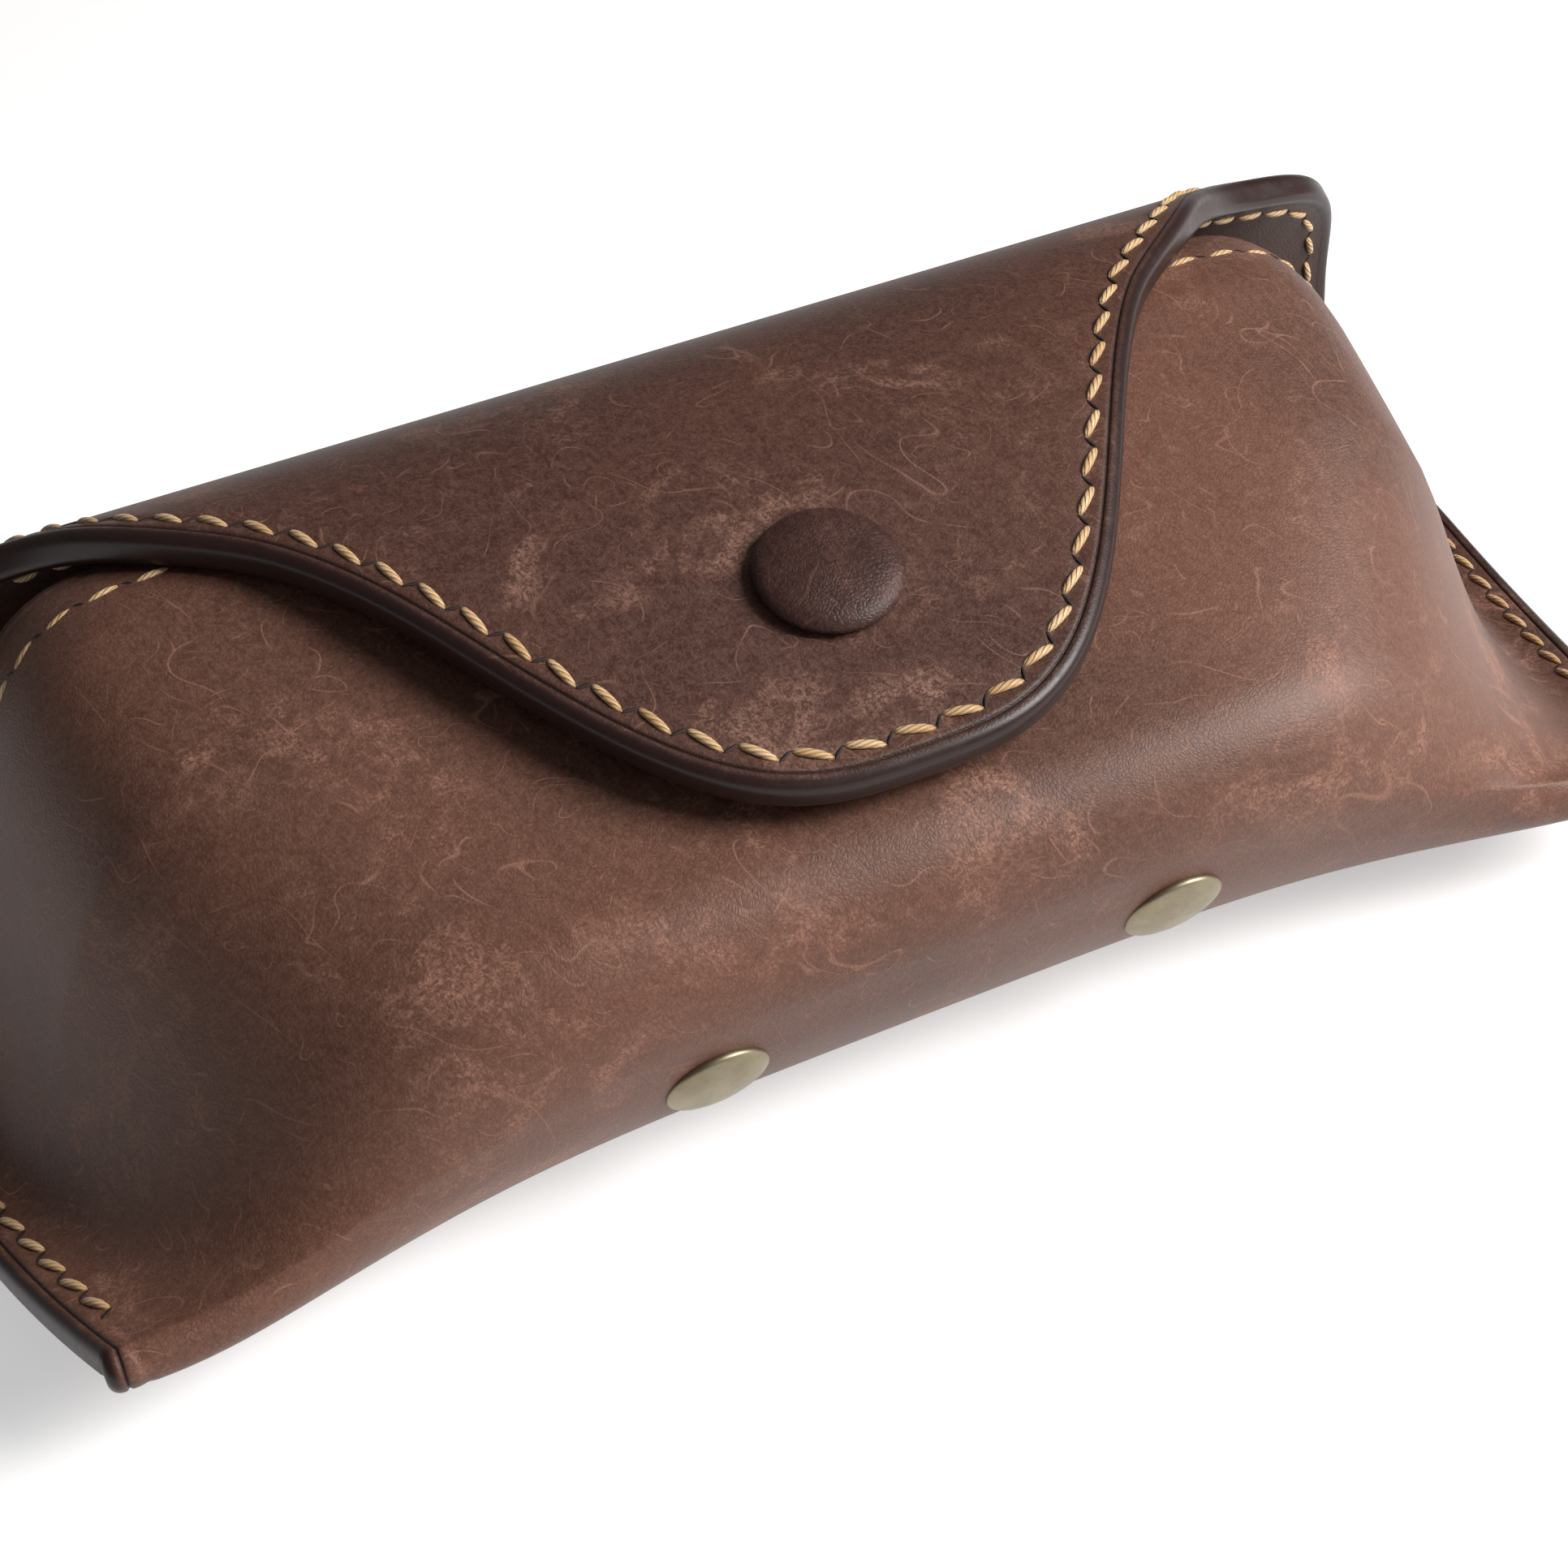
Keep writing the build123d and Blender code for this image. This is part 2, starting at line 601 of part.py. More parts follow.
snap_cap = placed(turned([
    (0, cap_thickness), (cap_radius, cap_thickness), (cap_radius, 0), (snap_post_radius, 0),
    (snap_post_radius, socket_ceiling), (0, socket_ceiling),
]), snap_point, snap_normal)
cover_curve = [(0, 1.0), (0.25, 0.995), (0.5, 0.95), (0.8, 0.79), (0.97, 0.5), (1.0, 0.34), (0.95, 0.14),
               (0.86, 0.02)]
snap_cover = placed(turned(
    [(cap_radius, cover_curve[-1][1] * cover_height), (cap_radius, cap_thickness), (0, cap_thickness)],
    [(r * cover_radius, h * cover_height) for r, h in cover_curve]), snap_point, snap_normal)
snap_socket = placed(turned([
    (post_hole, socket_top), (socket_flange_radius, socket_top), (socket_flange_radius, socket_ceiling),
    (socket_radius, socket_ceiling), (socket_radius, socket_mouth), (socket_bore_radius, socket_mouth),
    (socket_bore_radius, spring_level - groove_half), (groove_radius, spring_level - groove_half),
    (groove_radius, spring_level + groove_half), (socket_bore_radius, spring_level + groove_half),
    (socket_bore_radius, socket_ceiling), (post_hole, socket_ceiling),
]), snap_point, snap_normal)
wire_plane = Plane(origin=(spring_ring, 0, spring_level), x_dir=(1, 0, 0), z_dir=(0, 1, 0))
wire_circle = wire_plane * Circle(spring_wire_radius)
snap_spring = placed(revolve(wire_circle, Axis.Z, 360 - spring_open_angle), snap_point, snap_normal)
cap_hole = placed(Cylinder(post_hole, 4 * flap_stack), snap_point, snap_normal)
flap = flap - cap_hole
flap_lining = flap_lining - cap_hole

stud_height = snap_gap - socket_flange_thickness - stud_tip_gap
stud_bore_top = stud_bore_share * stud_height
snap_stud = placed(turned([
    (post_hole, -stud_base_thickness), (stud_base_radius, -stud_base_thickness), (stud_base_radius, 0),
    (stud_waist_radius, 0), (stud_waist_radius, stud_height / 4), (stud_radius, stud_height / 2),
    ((stud_radius + stud_waist_radius) / 2, stud_height * 3 / 4), (stud_tip_radius, stud_height),
    (0, stud_height), (0, stud_bore_top), (post_hole, stud_bore_top),
]), stud_point, snap_normal)
snap_eyelet = placed(turned([
    (0, -front_leather - eyelet_thickness), (eyelet_radius, -front_leather - eyelet_thickness),
    (eyelet_radius, -front_leather), (snap_post_radius, -front_leather),
    (snap_post_radius, stud_bore_top - part_clearance), (0, stud_bore_top - part_clearance),
]), stud_point, snap_normal)
stud_hole = Cylinder(post_hole, 4 * front_leather)
seat_height = stud_base_thickness + snap_gap / 2
stud_seat = Pos(0, 0, seat_height / 2 - stud_base_thickness) * Cylinder(stud_base_radius, seat_height)
front_panel = front_panel - placed(stud_hole, stud_point, snap_normal)
front_panel = front_panel - placed(stud_seat, stud_point, snap_normal)

# Threads: saddle stitched round the flap and fold, along the mouth and down both side seams
line = stitch_line()
hinge_margin = stitch_pitch / 2
flap_thread = wrap_stitches(line[line[:, 1] < upper_hinge - hinge_margin])
in_fold = (line[:, 1] > upper_hinge + hinge_margin) & (line[:, 1] < lower_hinge - hinge_margin)
fold_thread_left = wrap_stitches(line[in_fold & (line[:, 0] < 0)])
fold_thread_right = wrap_stitches(line[in_fold & (line[:, 0] > 0)])


def side_thread(side):
    """Side seam from the lower hinge down to the bottom corner, holes on the back's outer face."""
    upper = line[(line[:, 1] > lower_hinge + hinge_margin) & (side * line[:, 0] > 0)]
    upper = upper[np.argsort(upper[:, 1])]
    y, z, _ = wrap_point(upper[:, 1])
    seam_y = np.linspace(mouth_height - stitch_pitch / 2, side_seam_start, 80)
    seam_x = side * (half_width(seam_y) - stitch_inset)
    seam_z = lift(seam_y) - rest_cut
    path = np.concatenate([np.stack([upper[:, 0], y, z], 1), np.stack([seam_x, seam_y, seam_z], 1)])
    holes = even_spots(path, stitch_pitch)
    along = np.gradient(holes, axis=0)
    down = np.cross([side, 0, 0], along) * side
    down /= np.linalg.norm(down, axis=1, keepdims=True)
    inner = np.where(holes[:, 1] > mouth_height, flap_stack, flange_height) + thread_stand
    return saddle_stitch(holes, down, rest_cut + thread_radius + glue_line, inner)


side_thread_left = side_thread(-1)
side_thread_right = side_thread(1)

mouth_u = np.linspace(-facing_u, facing_u, 300)
mouth_v = np.full(mouth_u.shape, 1 - mouth_stitch_inset / front_length)
mouth_holes = even_spots(front_surface(mouth_u, mouth_v), stitch_pitch)
mouth_normals = np.array([front_spot(float(x), float(mouth_v[0]))[1] for x in mouth_holes[:, 0]])
mouth_sunk = rest_gap - hinge_gap + thread_radius / 2
mouth_grip = front_leather + facing_leather - thread_radius / 2
mouth_thread = saddle_stitch(mouth_holes, mouth_normals, mouth_sunk, mouth_grip)

pieces = {
    "front_panel": front_panel, "back_panel": back_panel, "back_lining": back_lining,
    "mouth_facing": mouth_facing, "bottom_strip": bottom_strip,
    "side_thread_left": side_thread_left, "side_thread_right": side_thread_right,
    "mouth_thread": mouth_thread,
    "rivet_caps": rivet_caps, "rivet_bases": rivet_bases, "snap_stud": snap_stud, "snap_eyelet": snap_eyelet,
    "fold_band": fold_band, "fold_lining": fold_lining,
    "fold_thread_left": fold_thread_left, "fold_thread_right": fold_thread_right,
    "flap": flap, "flap_lining": flap_lining, "flap_thread": flap_thread,
    "snap_cover": snap_cover, "snap_cap": snap_cap, "snap_socket": snap_socket, "snap_spring": snap_spring,
}
whole_depth = fold_centre + fold_radius + thread_stand + thread_radius
to_origin = Pos(0, -whole_depth / 2, 0)
os.makedirs("parts", exist_ok=True)
for name, piece in pieces.items():
    export_step(to_origin * piece, f"parts/{name}.step")
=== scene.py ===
"""Leather glasses case: the looks of its leathers, stitches, snap button and rivets.

Lengths are in metres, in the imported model's frame: +X along the case, +Y towards the fold, +Z up.
"""

import math

import bmesh
import bpy
import numpy as np
from mathutils import Matrix, Vector


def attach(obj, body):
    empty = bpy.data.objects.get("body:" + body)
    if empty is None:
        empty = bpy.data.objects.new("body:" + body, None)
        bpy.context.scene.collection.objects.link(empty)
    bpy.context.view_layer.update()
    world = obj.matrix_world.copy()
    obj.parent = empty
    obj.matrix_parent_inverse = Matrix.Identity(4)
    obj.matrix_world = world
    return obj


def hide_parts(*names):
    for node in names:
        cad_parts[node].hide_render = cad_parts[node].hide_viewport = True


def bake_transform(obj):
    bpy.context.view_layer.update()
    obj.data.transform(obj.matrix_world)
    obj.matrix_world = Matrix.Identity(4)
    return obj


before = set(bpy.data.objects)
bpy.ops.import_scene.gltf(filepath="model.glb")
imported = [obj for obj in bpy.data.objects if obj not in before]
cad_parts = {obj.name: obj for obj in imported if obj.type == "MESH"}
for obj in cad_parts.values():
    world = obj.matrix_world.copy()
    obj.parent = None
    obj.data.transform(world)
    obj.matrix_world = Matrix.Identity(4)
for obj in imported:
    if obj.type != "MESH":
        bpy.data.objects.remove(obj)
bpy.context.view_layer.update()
bpy.context.scene.view_settings.view_transform = "Standard"

# Camera and table
# The photograph looks down on the case from the front left, so close that both ends leave the picture.
mm = 0.001
middle_y = -36.64 * mm
rest_cut = 0.2 * mm
azimuth = math.radians(-21.276)
elevation = math.radians(41.105)
roll = math.radians(-4.95)
view_distance = 216.1 * mm
view_target = Vector((-5.81 * mm, 22.6 * mm + middle_y, 26.0 * mm - rest_cut))
lens_mm = 59.36

to_camera = Vector((math.sin(azimuth) * math.cos(elevation),
                    -math.cos(azimuth) * math.cos(elevation), math.sin(elevation)))
level_right = to_camera.cross(Vector((0, 0, -1))).normalized()
level_up = to_camera.cross(level_right)
right = math.cos(roll) * level_right + math.sin(roll) * level_up
up = to_camera.cross(right)
camera_data = bpy.data.cameras.new("camera")
camera_data.sensor_fit = "HORIZONTAL"
camera_data.sensor_width = 36
camera_data.lens = lens_mm
camera = bpy.data.objects.new("camera", camera_data)
bpy.context.scene.collection.objects.link(camera)
place = view_target + view_distance * to_camera
camera.matrix_world = Matrix((
    (right.x, up.x, to_camera.x, place.x),
    (right.y, up.y, to_camera.y, place.y),
    (right.z, up.z, to_camera.z, place.z),
    (0, 0, 0, 1),
))
bpy.context.scene.camera = camera


def shader_nodes(material):
    """Node tree of a material, with its Principled shader."""
    material.use_nodes = True
    tree = material.node_tree
    return tree, tree.nodes["Principled BSDF"]


def link(tree, source, target):
    """Link from an output socket to an input socket."""
    tree.links.new(source, target)


def calculate(tree, operation, first, second):
    """Math node on two values, each a socket or a number."""
    made = tree.nodes.new("ShaderNodeMath")
    made.operation = operation
    for socket, value in zip(made.inputs, (first, second)):
        if isinstance(value, (int, float)):
            socket.default_value = value
        else:
            link(tree, value, socket)
    return made.outputs[0]


def times(tree, first, second):
    """Product of two values."""
    return calculate(tree, "MULTIPLY", first, second)


def plus(tree, first, second):
    """Sum of two values."""
    return calculate(tree, "ADD", first, second)


def minus(tree, first, second):
    """Difference of two values."""
    return calculate(tree, "SUBTRACT", first, second)


table_half = 3.0
table_albedo = 0.76
table_glow = 0.45
table_mesh = bpy.data.meshes.new("table")
table_mesh.from_pydata([(-table_half, -table_half, 0), (table_half, -table_half, 0),
                        (table_half, table_half, 0), (-table_half, table_half, 0)], [], [(0, 1, 2, 3)])
table = bpy.data.objects.new("table", table_mesh)
bpy.context.scene.collection.objects.link(table)
table_paint = bpy.data.materials.new("table_paint")
tree, shader = shader_nodes(table_paint)
shader.inputs["Base Color"].default_value = (table_albedo, table_albedo, table_albedo, 1)
shader.inputs["Roughness"].default_value = 0.9
shader.inputs["Specular IOR Level"].default_value = 0.1
# Seen straight, in gloss or through glass the table also glows a little, so that its colour reaches white
seen = tree.nodes.new("ShaderNodeLightPath").outputs
bright = calculate(tree, "MAXIMUM", seen["Is Camera Ray"], seen["Is Glossy Ray"])
bright = calculate(tree, "MAXIMUM", bright, seen["Is Transmission Ray"])
link(tree, times(tree, bright, table_glow), shader.inputs["Emission Strength"])
shader.inputs["Emission Color"].default_value = (1, 1, 1, 1)
table_mesh.materials.append(table_paint)


# Light
# One large soft window to the right and a little in front, a weak fill from the camera's side, a pale room.
world = bpy.data.worlds.new("room")
bpy.context.scene.world = world
world.use_nodes = True
room = world.node_tree.nodes["Background"]
room.inputs["Color"].default_value = (0.97, 0.98, 1.0, 1)
room.inputs["Strength"].default_value = 0.13


def area_lamp(name, position, size, power, colour):
    """Square area lamp that points at the case."""
    data = bpy.data.lights.new(name, "AREA")
    data.shape = "SQUARE"
    data.size = size
    data.energy = power
    data.color = colour
    lamp = bpy.data.objects.new(name, data)
    bpy.context.scene.collection.objects.link(lamp)
    lamp.location = position
    lamp.rotation_euler = (Vector((0, 0, 0.02)) - Vector(position)).to_track_quat("-Z", "Y").to_euler()
    return lamp


area_lamp("window", (0.60, -0.38, 0.57), 0.42, 12.2, (1.0, 0.98, 0.96))
area_lamp("fill", (0.10, -0.80, 0.45), 0.60, 0.5, (0.97, 0.98, 1.0))


# Course of the outer leather
# One long leather: flat under the case, up the back, over the top and down again as the flap.
fold_radius = 24.6 * mm
fold_centre = 48.2 * mm
back_radius = 14.8 * mm
flap_slope = math.radians(17.5)
flap_crown_radius = 60 * mm
fold_top = 2 * fold_radius - rest_cut
upper_arc = fold_radius * math.pi / 2
fold_straight = fold_radius - back_radius
lower_arc = back_radius * math.pi / 2
wrap_end = upper_arc + fold_straight + lower_arc
flat_run = 200 * mm
split_line = upper_arc + fold_straight / 2


def path_point(start, heading, pieces, distance):
    """Point and heading along arcs and straight runs, each (length, turn): an arc of bend k = turn / length
    from angle a moves by (sin(a + k s) - sin a) / k along y and (cos a - cos(a + k s)) / k along z."""
    s = np.asarray(distance, float)
    y = np.full(s.shape, float(start[0]))
    z = np.full(s.shape, float(start[1]))
    angle = np.full(s.shape, float(heading))
    for length, turn in pieces:
        run = np.clip(s, 0, length)
        if turn == 0:
            y = y + run * np.cos(angle)
            z = z + run * np.sin(angle)
        else:
            bend = turn / length
            y = y + (np.sin(angle + bend * run) - np.sin(angle)) / bend
            z = z - (np.cos(angle + bend * run) - np.cos(angle)) / bend
            angle = angle + bend * run
        s = s - length
    return y, z, angle


def wrap_section(over):
    """Middle section of the outer leather at a distance over the crest, negative towards the flap's tip."""
    over = np.asarray(over, float)
    back = [(upper_arc, -math.pi / 2), (fold_straight, 0), (lower_arc, -math.pi / 2), (flat_run, 0)]
    front = [(flap_crown_radius * flap_slope, flap_slope), (flat_run, 0)]
    y1, z1, a1 = path_point((fold_centre, fold_top), 0.0, back, np.clip(over, 0, None))
    y2, z2, a2 = path_point((fold_centre, fold_top), math.pi, front, np.clip(-over, 0, None))
    behind = over >= 0
    return np.where(behind, y1, y2), np.where(behind, z1, z2), np.where(behind, a1, a2 + math.pi)


def wrap_surface(x, over):
    """Points and outward normals of the outer leather's face: the middle section carried along x."""
    y, z, angle = wrap_section(over)
    points = np.stack(np.broadcast_arrays(x, y + middle_y, z), -1)
    normals = np.stack(np.broadcast_arrays(np.zeros_like(angle), -np.sin(angle), np.cos(angle)), -1)
    return points, normals


def surface_normals(points):
    """Normals of a grid: the cross product of its differences along columns and rows."""
    normal = np.cross(np.gradient(points, axis=1), np.gradient(points, axis=0))
    return normal / np.linalg.norm(normal, axis=-1, keepdims=True)


# Outline of the leather in its flat plan
# A bell-shaped tongue widens into shoulders and runs out to the full width at the mouth's ends.
flap_tip = 6.1 * mm
tongue_length = 46.7 * mm
tongue_width = 34.5 * mm
shoulder_start = 44 * mm
shoulder_rise = 0.048 / mm
shoulder_half_width = 54 * mm
mouth_half_width = 85 * mm
fold_outline = np.array([(57.5, 12.5), (63.0, 16.6), (70.0, 19.8), (75.5, 24.0), (78.2, 30.0), (79.0, 38.0),
                         (79.8, 47.0), (82.0, 55.0), (83.8, 63.0)]) * mm


def smooth_line(points, count):
    """Natural cubic spline through points by chord length: its second derivatives solve the usual system."""
    points = np.asarray(points, float)
    t = np.concatenate([[0], np.cumsum(np.linalg.norm(np.diff(points, axis=0), axis=1))])
    h = np.diff(t)
    inner = np.arange(1, len(points) - 1)
    system = np.eye(len(points))
    system[inner, inner - 1] = h[:-1]
    system[inner, inner] = 2 * (h[:-1] + h[1:])
    system[inner, inner + 1] = h[1:]
    slopes = np.diff(points, axis=0) / h[:, None]
    target = np.zeros_like(points)
    target[inner] = 6 * np.diff(slopes, axis=0)
    bend = np.linalg.solve(system, target)
    s = np.linspace(0, t[-1], count)
    k = np.clip(np.searchsorted(t, s, side="right") - 1, 0, len(h) - 1)
    b = ((s - t[k]) / h[k])[:, None]
    a = 1 - b
    curve = (a**3 - a) * bend[k] + (b**3 - b) * bend[k + 1]
    return a * points[k] + b * points[k + 1] + curve * h[k][:, None] ** 2 / 6


def resample(line, count):
    """Evenly spaced points along a polyline."""
    along = np.concatenate([[0], np.cumsum(np.linalg.norm(np.diff(line, axis=0), axis=1))])
    spots = np.linspace(0, along[-1], count)
    return np.stack([np.interp(spots, along, line[:, k]) for k in range(line.shape[1])], -1)


tongue_x = np.linspace(0, shoulder_half_width, 14)
tongue_y = flap_tip + tongue_length * (1 - np.exp(-((tongue_x / tongue_width) ** 3)))
tongue_y += shoulder_rise * np.clip(tongue_x - shoulder_start, 0, None) ** 2
over_table = np.linspace(-80 * mm, 0.6 * upper_arc, 3000)
tongue_over = np.interp(tongue_y, wrap_section(over_table)[0], over_table)
mouth_corner = [[mouth_half_width, wrap_end]]
right_points = np.concatenate([np.stack([tongue_x, tongue_over], 1), fold_outline, mouth_corner])
both_sides = np.concatenate([right_points[:0:-1] * (-1, 1), right_points])
whole_outline = smooth_line(both_sides, 4001)
right_outline = whole_outline[2000:]


# Sheets of leather
# Every leather is a face and a back side with rounded, burnished edges; each point keeps its distance from
# the cut edge, so that the finish can darken the edge and follow the creased line and the stitches.
edge_steps = np.array([0, .04, .12, .25, .45, .7, 1.0, 1.2, 1.32, 1.39, 1.45, 1.51, 1.58, 1.7, 1.95, 2.25,
                       2.55, 2.8, 3.05, 3.3, 3.6, 4.2, 5.0, 6.0]) * mm
crease_inset = 1.45 * mm
crease_depth = 0.20 * mm
crease_width = 0.13 * mm
stitch_inset = 2.9 * mm
channel_depth = 0.10 * mm
channel_width = 0.38 * mm


def rounding(distance, radius):
    """Fall of a rounded edge: r - sqrt(r^2 - (r - d)^2) within the radius, and 0 further in."""
    inside = np.clip(radius - distance, 0, radius)
    return radius - np.sqrt(np.clip(radius**2 - inside**2, 0, None))


def edge_lines(distance):
    """Depth of the creased line and of the channel that the stitches lie in, as two bell curves."""
    crease = crease_depth * np.exp(-(((distance - crease_inset) / crease_width) ** 2))
    channel = channel_depth * np.exp(-(((distance - stitch_inset) / channel_width) ** 2))
    return crease + channel


def shell_mesh(name, outer, inner, attributes, folded):
    """Closed mesh between two grids of points, joined along their borders; doubled points are merged.
    A folded grid has its first row folded in two along the middle line, so nothing joins the two there."""
    rows, columns, _ = outer.shape
    points = np.concatenate([outer.reshape(-1, 3), inner.reshape(-1, 3)])
    index = np.arange(rows * columns).reshape(rows, columns)
    a, b, c, d = index[:-1, :-1], index[:-1, 1:], index[1:, 1:], index[1:, :-1]
    top = np.stack([a, b, c, d], -1).reshape(-1, 4)
    low = top[:, ::-1] + rows * columns
    ring = np.concatenate([index[0, :], index[1:, -1], index[-1, -2::-1], index[-2:0:-1, 0], index[:1, 0]])
    if folded:
        ring = np.concatenate([index[:, -1], index[-1, -2::-1], index[-2::-1, 0]])
    ring, following = ring[:-1], ring[1:]
    rim = np.stack([following, ring, ring + rows * columns, following + rows * columns], -1)
    faces = np.concatenate([top, low, rim])
    mesh = bpy.data.meshes.new(name)
    mesh.from_pydata(points.tolist(), [], faces.tolist())
    for key, values in attributes.items():
        layer = mesh.attributes.new(key, "FLOAT", "POINT")
        layer.data.foreach_set("value", np.concatenate([values.ravel(), values.ravel()]).astype(np.float32))
    return finished(name, mesh)


def finished(name, mesh):
    """Object of a mesh with doubled points merged, faces pointing outwards, and smooth shading up to its
    square corners."""
    work = bmesh.new()
    work.from_mesh(mesh)
    bmesh.ops.remove_doubles(work, verts=work.verts, dist=0.002 * mm)
    bmesh.ops.dissolve_degenerate(work, edges=work.edges, dist=0.001 * mm)
    bmesh.ops.recalc_face_normals(work, faces=work.faces)
    if work.calc_volume(signed=True) < 0:
        bmesh.ops.reverse_faces(work, faces=work.faces)
    work.to_mesh(mesh)
    work.free()
    mesh.polygons.foreach_set("use_smooth", np.ones(len(mesh.polygons), bool))
    mesh.set_sharp_from_angle(angle=math.radians(50))
    piece = bpy.data.objects.new(name, mesh)
    bpy.context.scene.collection.objects.link(piece)
    return piece


def leather(name, points, normals, distance, depth, thickness, face_round, back_round,
            face_lines=True, folded=False):
    """Leather at a depth under a grid of points: face and back follow the normals, less the rounded edges."""
    fall = rounding(distance, face_round)
    if face_lines:
        fall = fall + edge_lines(distance)
    rise = rounding(distance, back_round)
    outer = points - (depth + fall)[..., None] * normals
    inner = points - (depth + thickness - rise)[..., None] * normals
    return shell_mesh(name, outer, inner, {"edge_distance": distance}, folded)


# Leather finish
# Vegetable-tanned leather, waxed and brushed: a brown ground with cloudy pink-brown scuffs, curled hairline
# scratches and a fine pebble grain. Cut edges are burnished almost black and polished.


def noise(tree, vector, scale, detail=4.0, rough=0.55, distortion=0.0):
    """Noise texture at a place; its value lies around 0.5."""
    made = tree.nodes.new("ShaderNodeTexNoise")
    made.inputs["Scale"].default_value = scale
    made.inputs["Detail"].default_value = detail
    made.inputs["Roughness"].default_value = rough
    made.inputs["Distortion"].default_value = distortion
    link(tree, vector, made.inputs["Vector"])
    return made.outputs["Fac"]


def ramp(tree, value, low, high):
    """Smooth step from 0 at low to 1 at high."""
    made = tree.nodes.new("ShaderNodeMapRange")
    made.interpolation_type = "SMOOTHSTEP"
    made.inputs["From Min"].default_value = low
    made.inputs["From Max"].default_value = high
    link(tree, value, made.inputs["Value"])
    return made.outputs["Result"]


def mix_colour(tree, share, first, second):
    """Colour between two, each a socket or a colour."""
    made = tree.nodes.new("ShaderNodeMix")
    made.data_type = "RGBA"
    link(tree, share, made.inputs["Factor"])
    for key, value in (("A", first), ("B", second)):
        socket = [s for s in made.inputs if s.name == key and s.type == "RGBA"][0]
        if isinstance(value, tuple):
            socket.default_value = (*value, 1)
        else:
            link(tree, value, socket)
    return [s for s in made.outputs if s.type == "RGBA"][0]


def new_group(name, inputs, outputs):
    """Shader node group with named sockets, (name, type, value) each."""
    group = bpy.data.node_groups.new(name, "ShaderNodeTree")
    for label, kind, value in inputs:
        socket = group.interface.new_socket(label, in_out="INPUT", socket_type=kind)
        if value is not None:
            socket.default_value = value
    for label, kind in outputs:
        group.interface.new_socket(label, in_out="OUTPUT", socket_type=kind)
    return group, group.nodes.new("NodeGroupInput").outputs, group.nodes.new("NodeGroupOutput").inputs


leather_group, given, result = new_group(
    "waxed_leather",
    [("Vector", "NodeSocketVector", None), ("Edge Distance", "NodeSocketFloat", 1.0),
     ("Ground", "NodeSocketColor", (0.1, 0.05, 0.03, 1)),
     ("Shade", "NodeSocketColor", (0.05, 0.025, 0.02, 1)),
     ("Scuff", "NodeSocketColor", (0.26, 0.14, 0.1, 1)), ("Scuffing", "NodeSocketFloat", 1.0),
     ("Grain", "NodeSocketFloat", 1.0)],
    [("Color", "NodeSocketColor"), ("Roughness", "NodeSocketFloat"), ("Height", "NodeSocketFloat")])
place = given["Vector"]
# The broad tone starts elsewhere in its noise, so that the case is darker at its left end
tone_place = leather_group.nodes.new("ShaderNodeMapping")
tone_place.inputs["Location"].default_value = (0.35, 0.1, 0.2)
link(leather_group, place, tone_place.inputs["Vector"])
tone = ramp(leather_group, noise(leather_group, tone_place.outputs[0], 22, 3, 0.5), 0.34, 0.66)
mottle = ramp(leather_group, noise(leather_group, place, 900, 5, 0.7), 0.35, 0.68)
clouds = ramp(leather_group, noise(leather_group, place, 46, 3, 0.6, 0.8), 0.40, 0.62)


def hairs(tree, vector, scale, level, thickness, turn, stretch):
    """Fine curled lines where a soft noise, turned and stretched, crosses a level: |noise - level| near 0."""
    turned = tree.nodes.new("ShaderNodeMapping")
    turned.vector_type = "TEXTURE"
    turned.inputs["Rotation"].default_value = (0.5 * turn, 0.2 * turn, turn)
    turned.inputs["Scale"].default_value = (1.0, stretch, 1.0)
    link(tree, vector, turned.inputs["Vector"])
    field = noise(tree, turned.outputs[0], scale, 1, 0.45, 0.25)
    off = calculate(tree, "ABSOLUTE", minus(tree, field, level), 0)
    return ramp(tree, off, thickness, 0.2 * thickness), turned.outputs[0]


# Short fibres lie all over, as drawn-out noise in three directions. Where the wax is rubbed off they show
# as pinkish clouds and streaks; sparse longer hairs lie everywhere as arcs and whiskers.
fibre_stretch = 3.6
fibres = None
for tip, turn, scale in ((0.5, 0.3, 2900), (-0.5, 1.35, 3300), (0.9, 2.4, 3100)):
    turned = leather_group.nodes.new("ShaderNodeMapping")
    turned.vector_type = "TEXTURE"
    turned.inputs["Rotation"].default_value = (tip, 0, turn)
    turned.inputs["Scale"].default_value = (1.0, fibre_stretch, 1.0)
    link(leather_group, place, turned.inputs["Vector"])
    strand = ramp(leather_group, noise(leather_group, turned.outputs[0], scale, 2, 0.6, 0.4), 0.47, 0.68)
    fibres = strand if fibres is None else calculate(leather_group, "MAXIMUM", fibres, strand)
streaks = ramp(leather_group, noise(leather_group, place, 105, 6, 0.72, 1.0), 0.42, 0.68)
rubbed = times(leather_group, clouds, streaks)
scuffs = times(leather_group, rubbed, plus(leather_group, times(leather_group, fibres, 0.70), 0.14))
scratch_width = 0.0056
scratch_stretch = 1.8
scratches = None
for scale, level, break_scale, turn in ((120, 0.47, 260, 0.4), (120, 0.53, 240, 0.4), (165, 0.50, 300, 1.5),
                                        (165, 0.44, 330, 1.5), (230, 0.52, 380, 2.6), (95, 0.56, 210, 2.6)):
    line, turned = hairs(leather_group, place, scale, level, scratch_width, turn, scratch_stretch)
    gaps = ramp(leather_group, noise(leather_group, turned, break_scale, 2, 0.5), 0.47, 0.66)
    line = times(leather_group, line, gaps)
    scratches = line if scratches is None else calculate(leather_group, "MAXIMUM", scratches, line)
marks = calculate(leather_group, "MAXIMUM", scuffs, times(leather_group, scratches, 0.46))
marks = calculate(leather_group, "MAXIMUM", marks, times(leather_group, fibres, 0.15))
marks = times(leather_group, marks, given["Scuffing"])

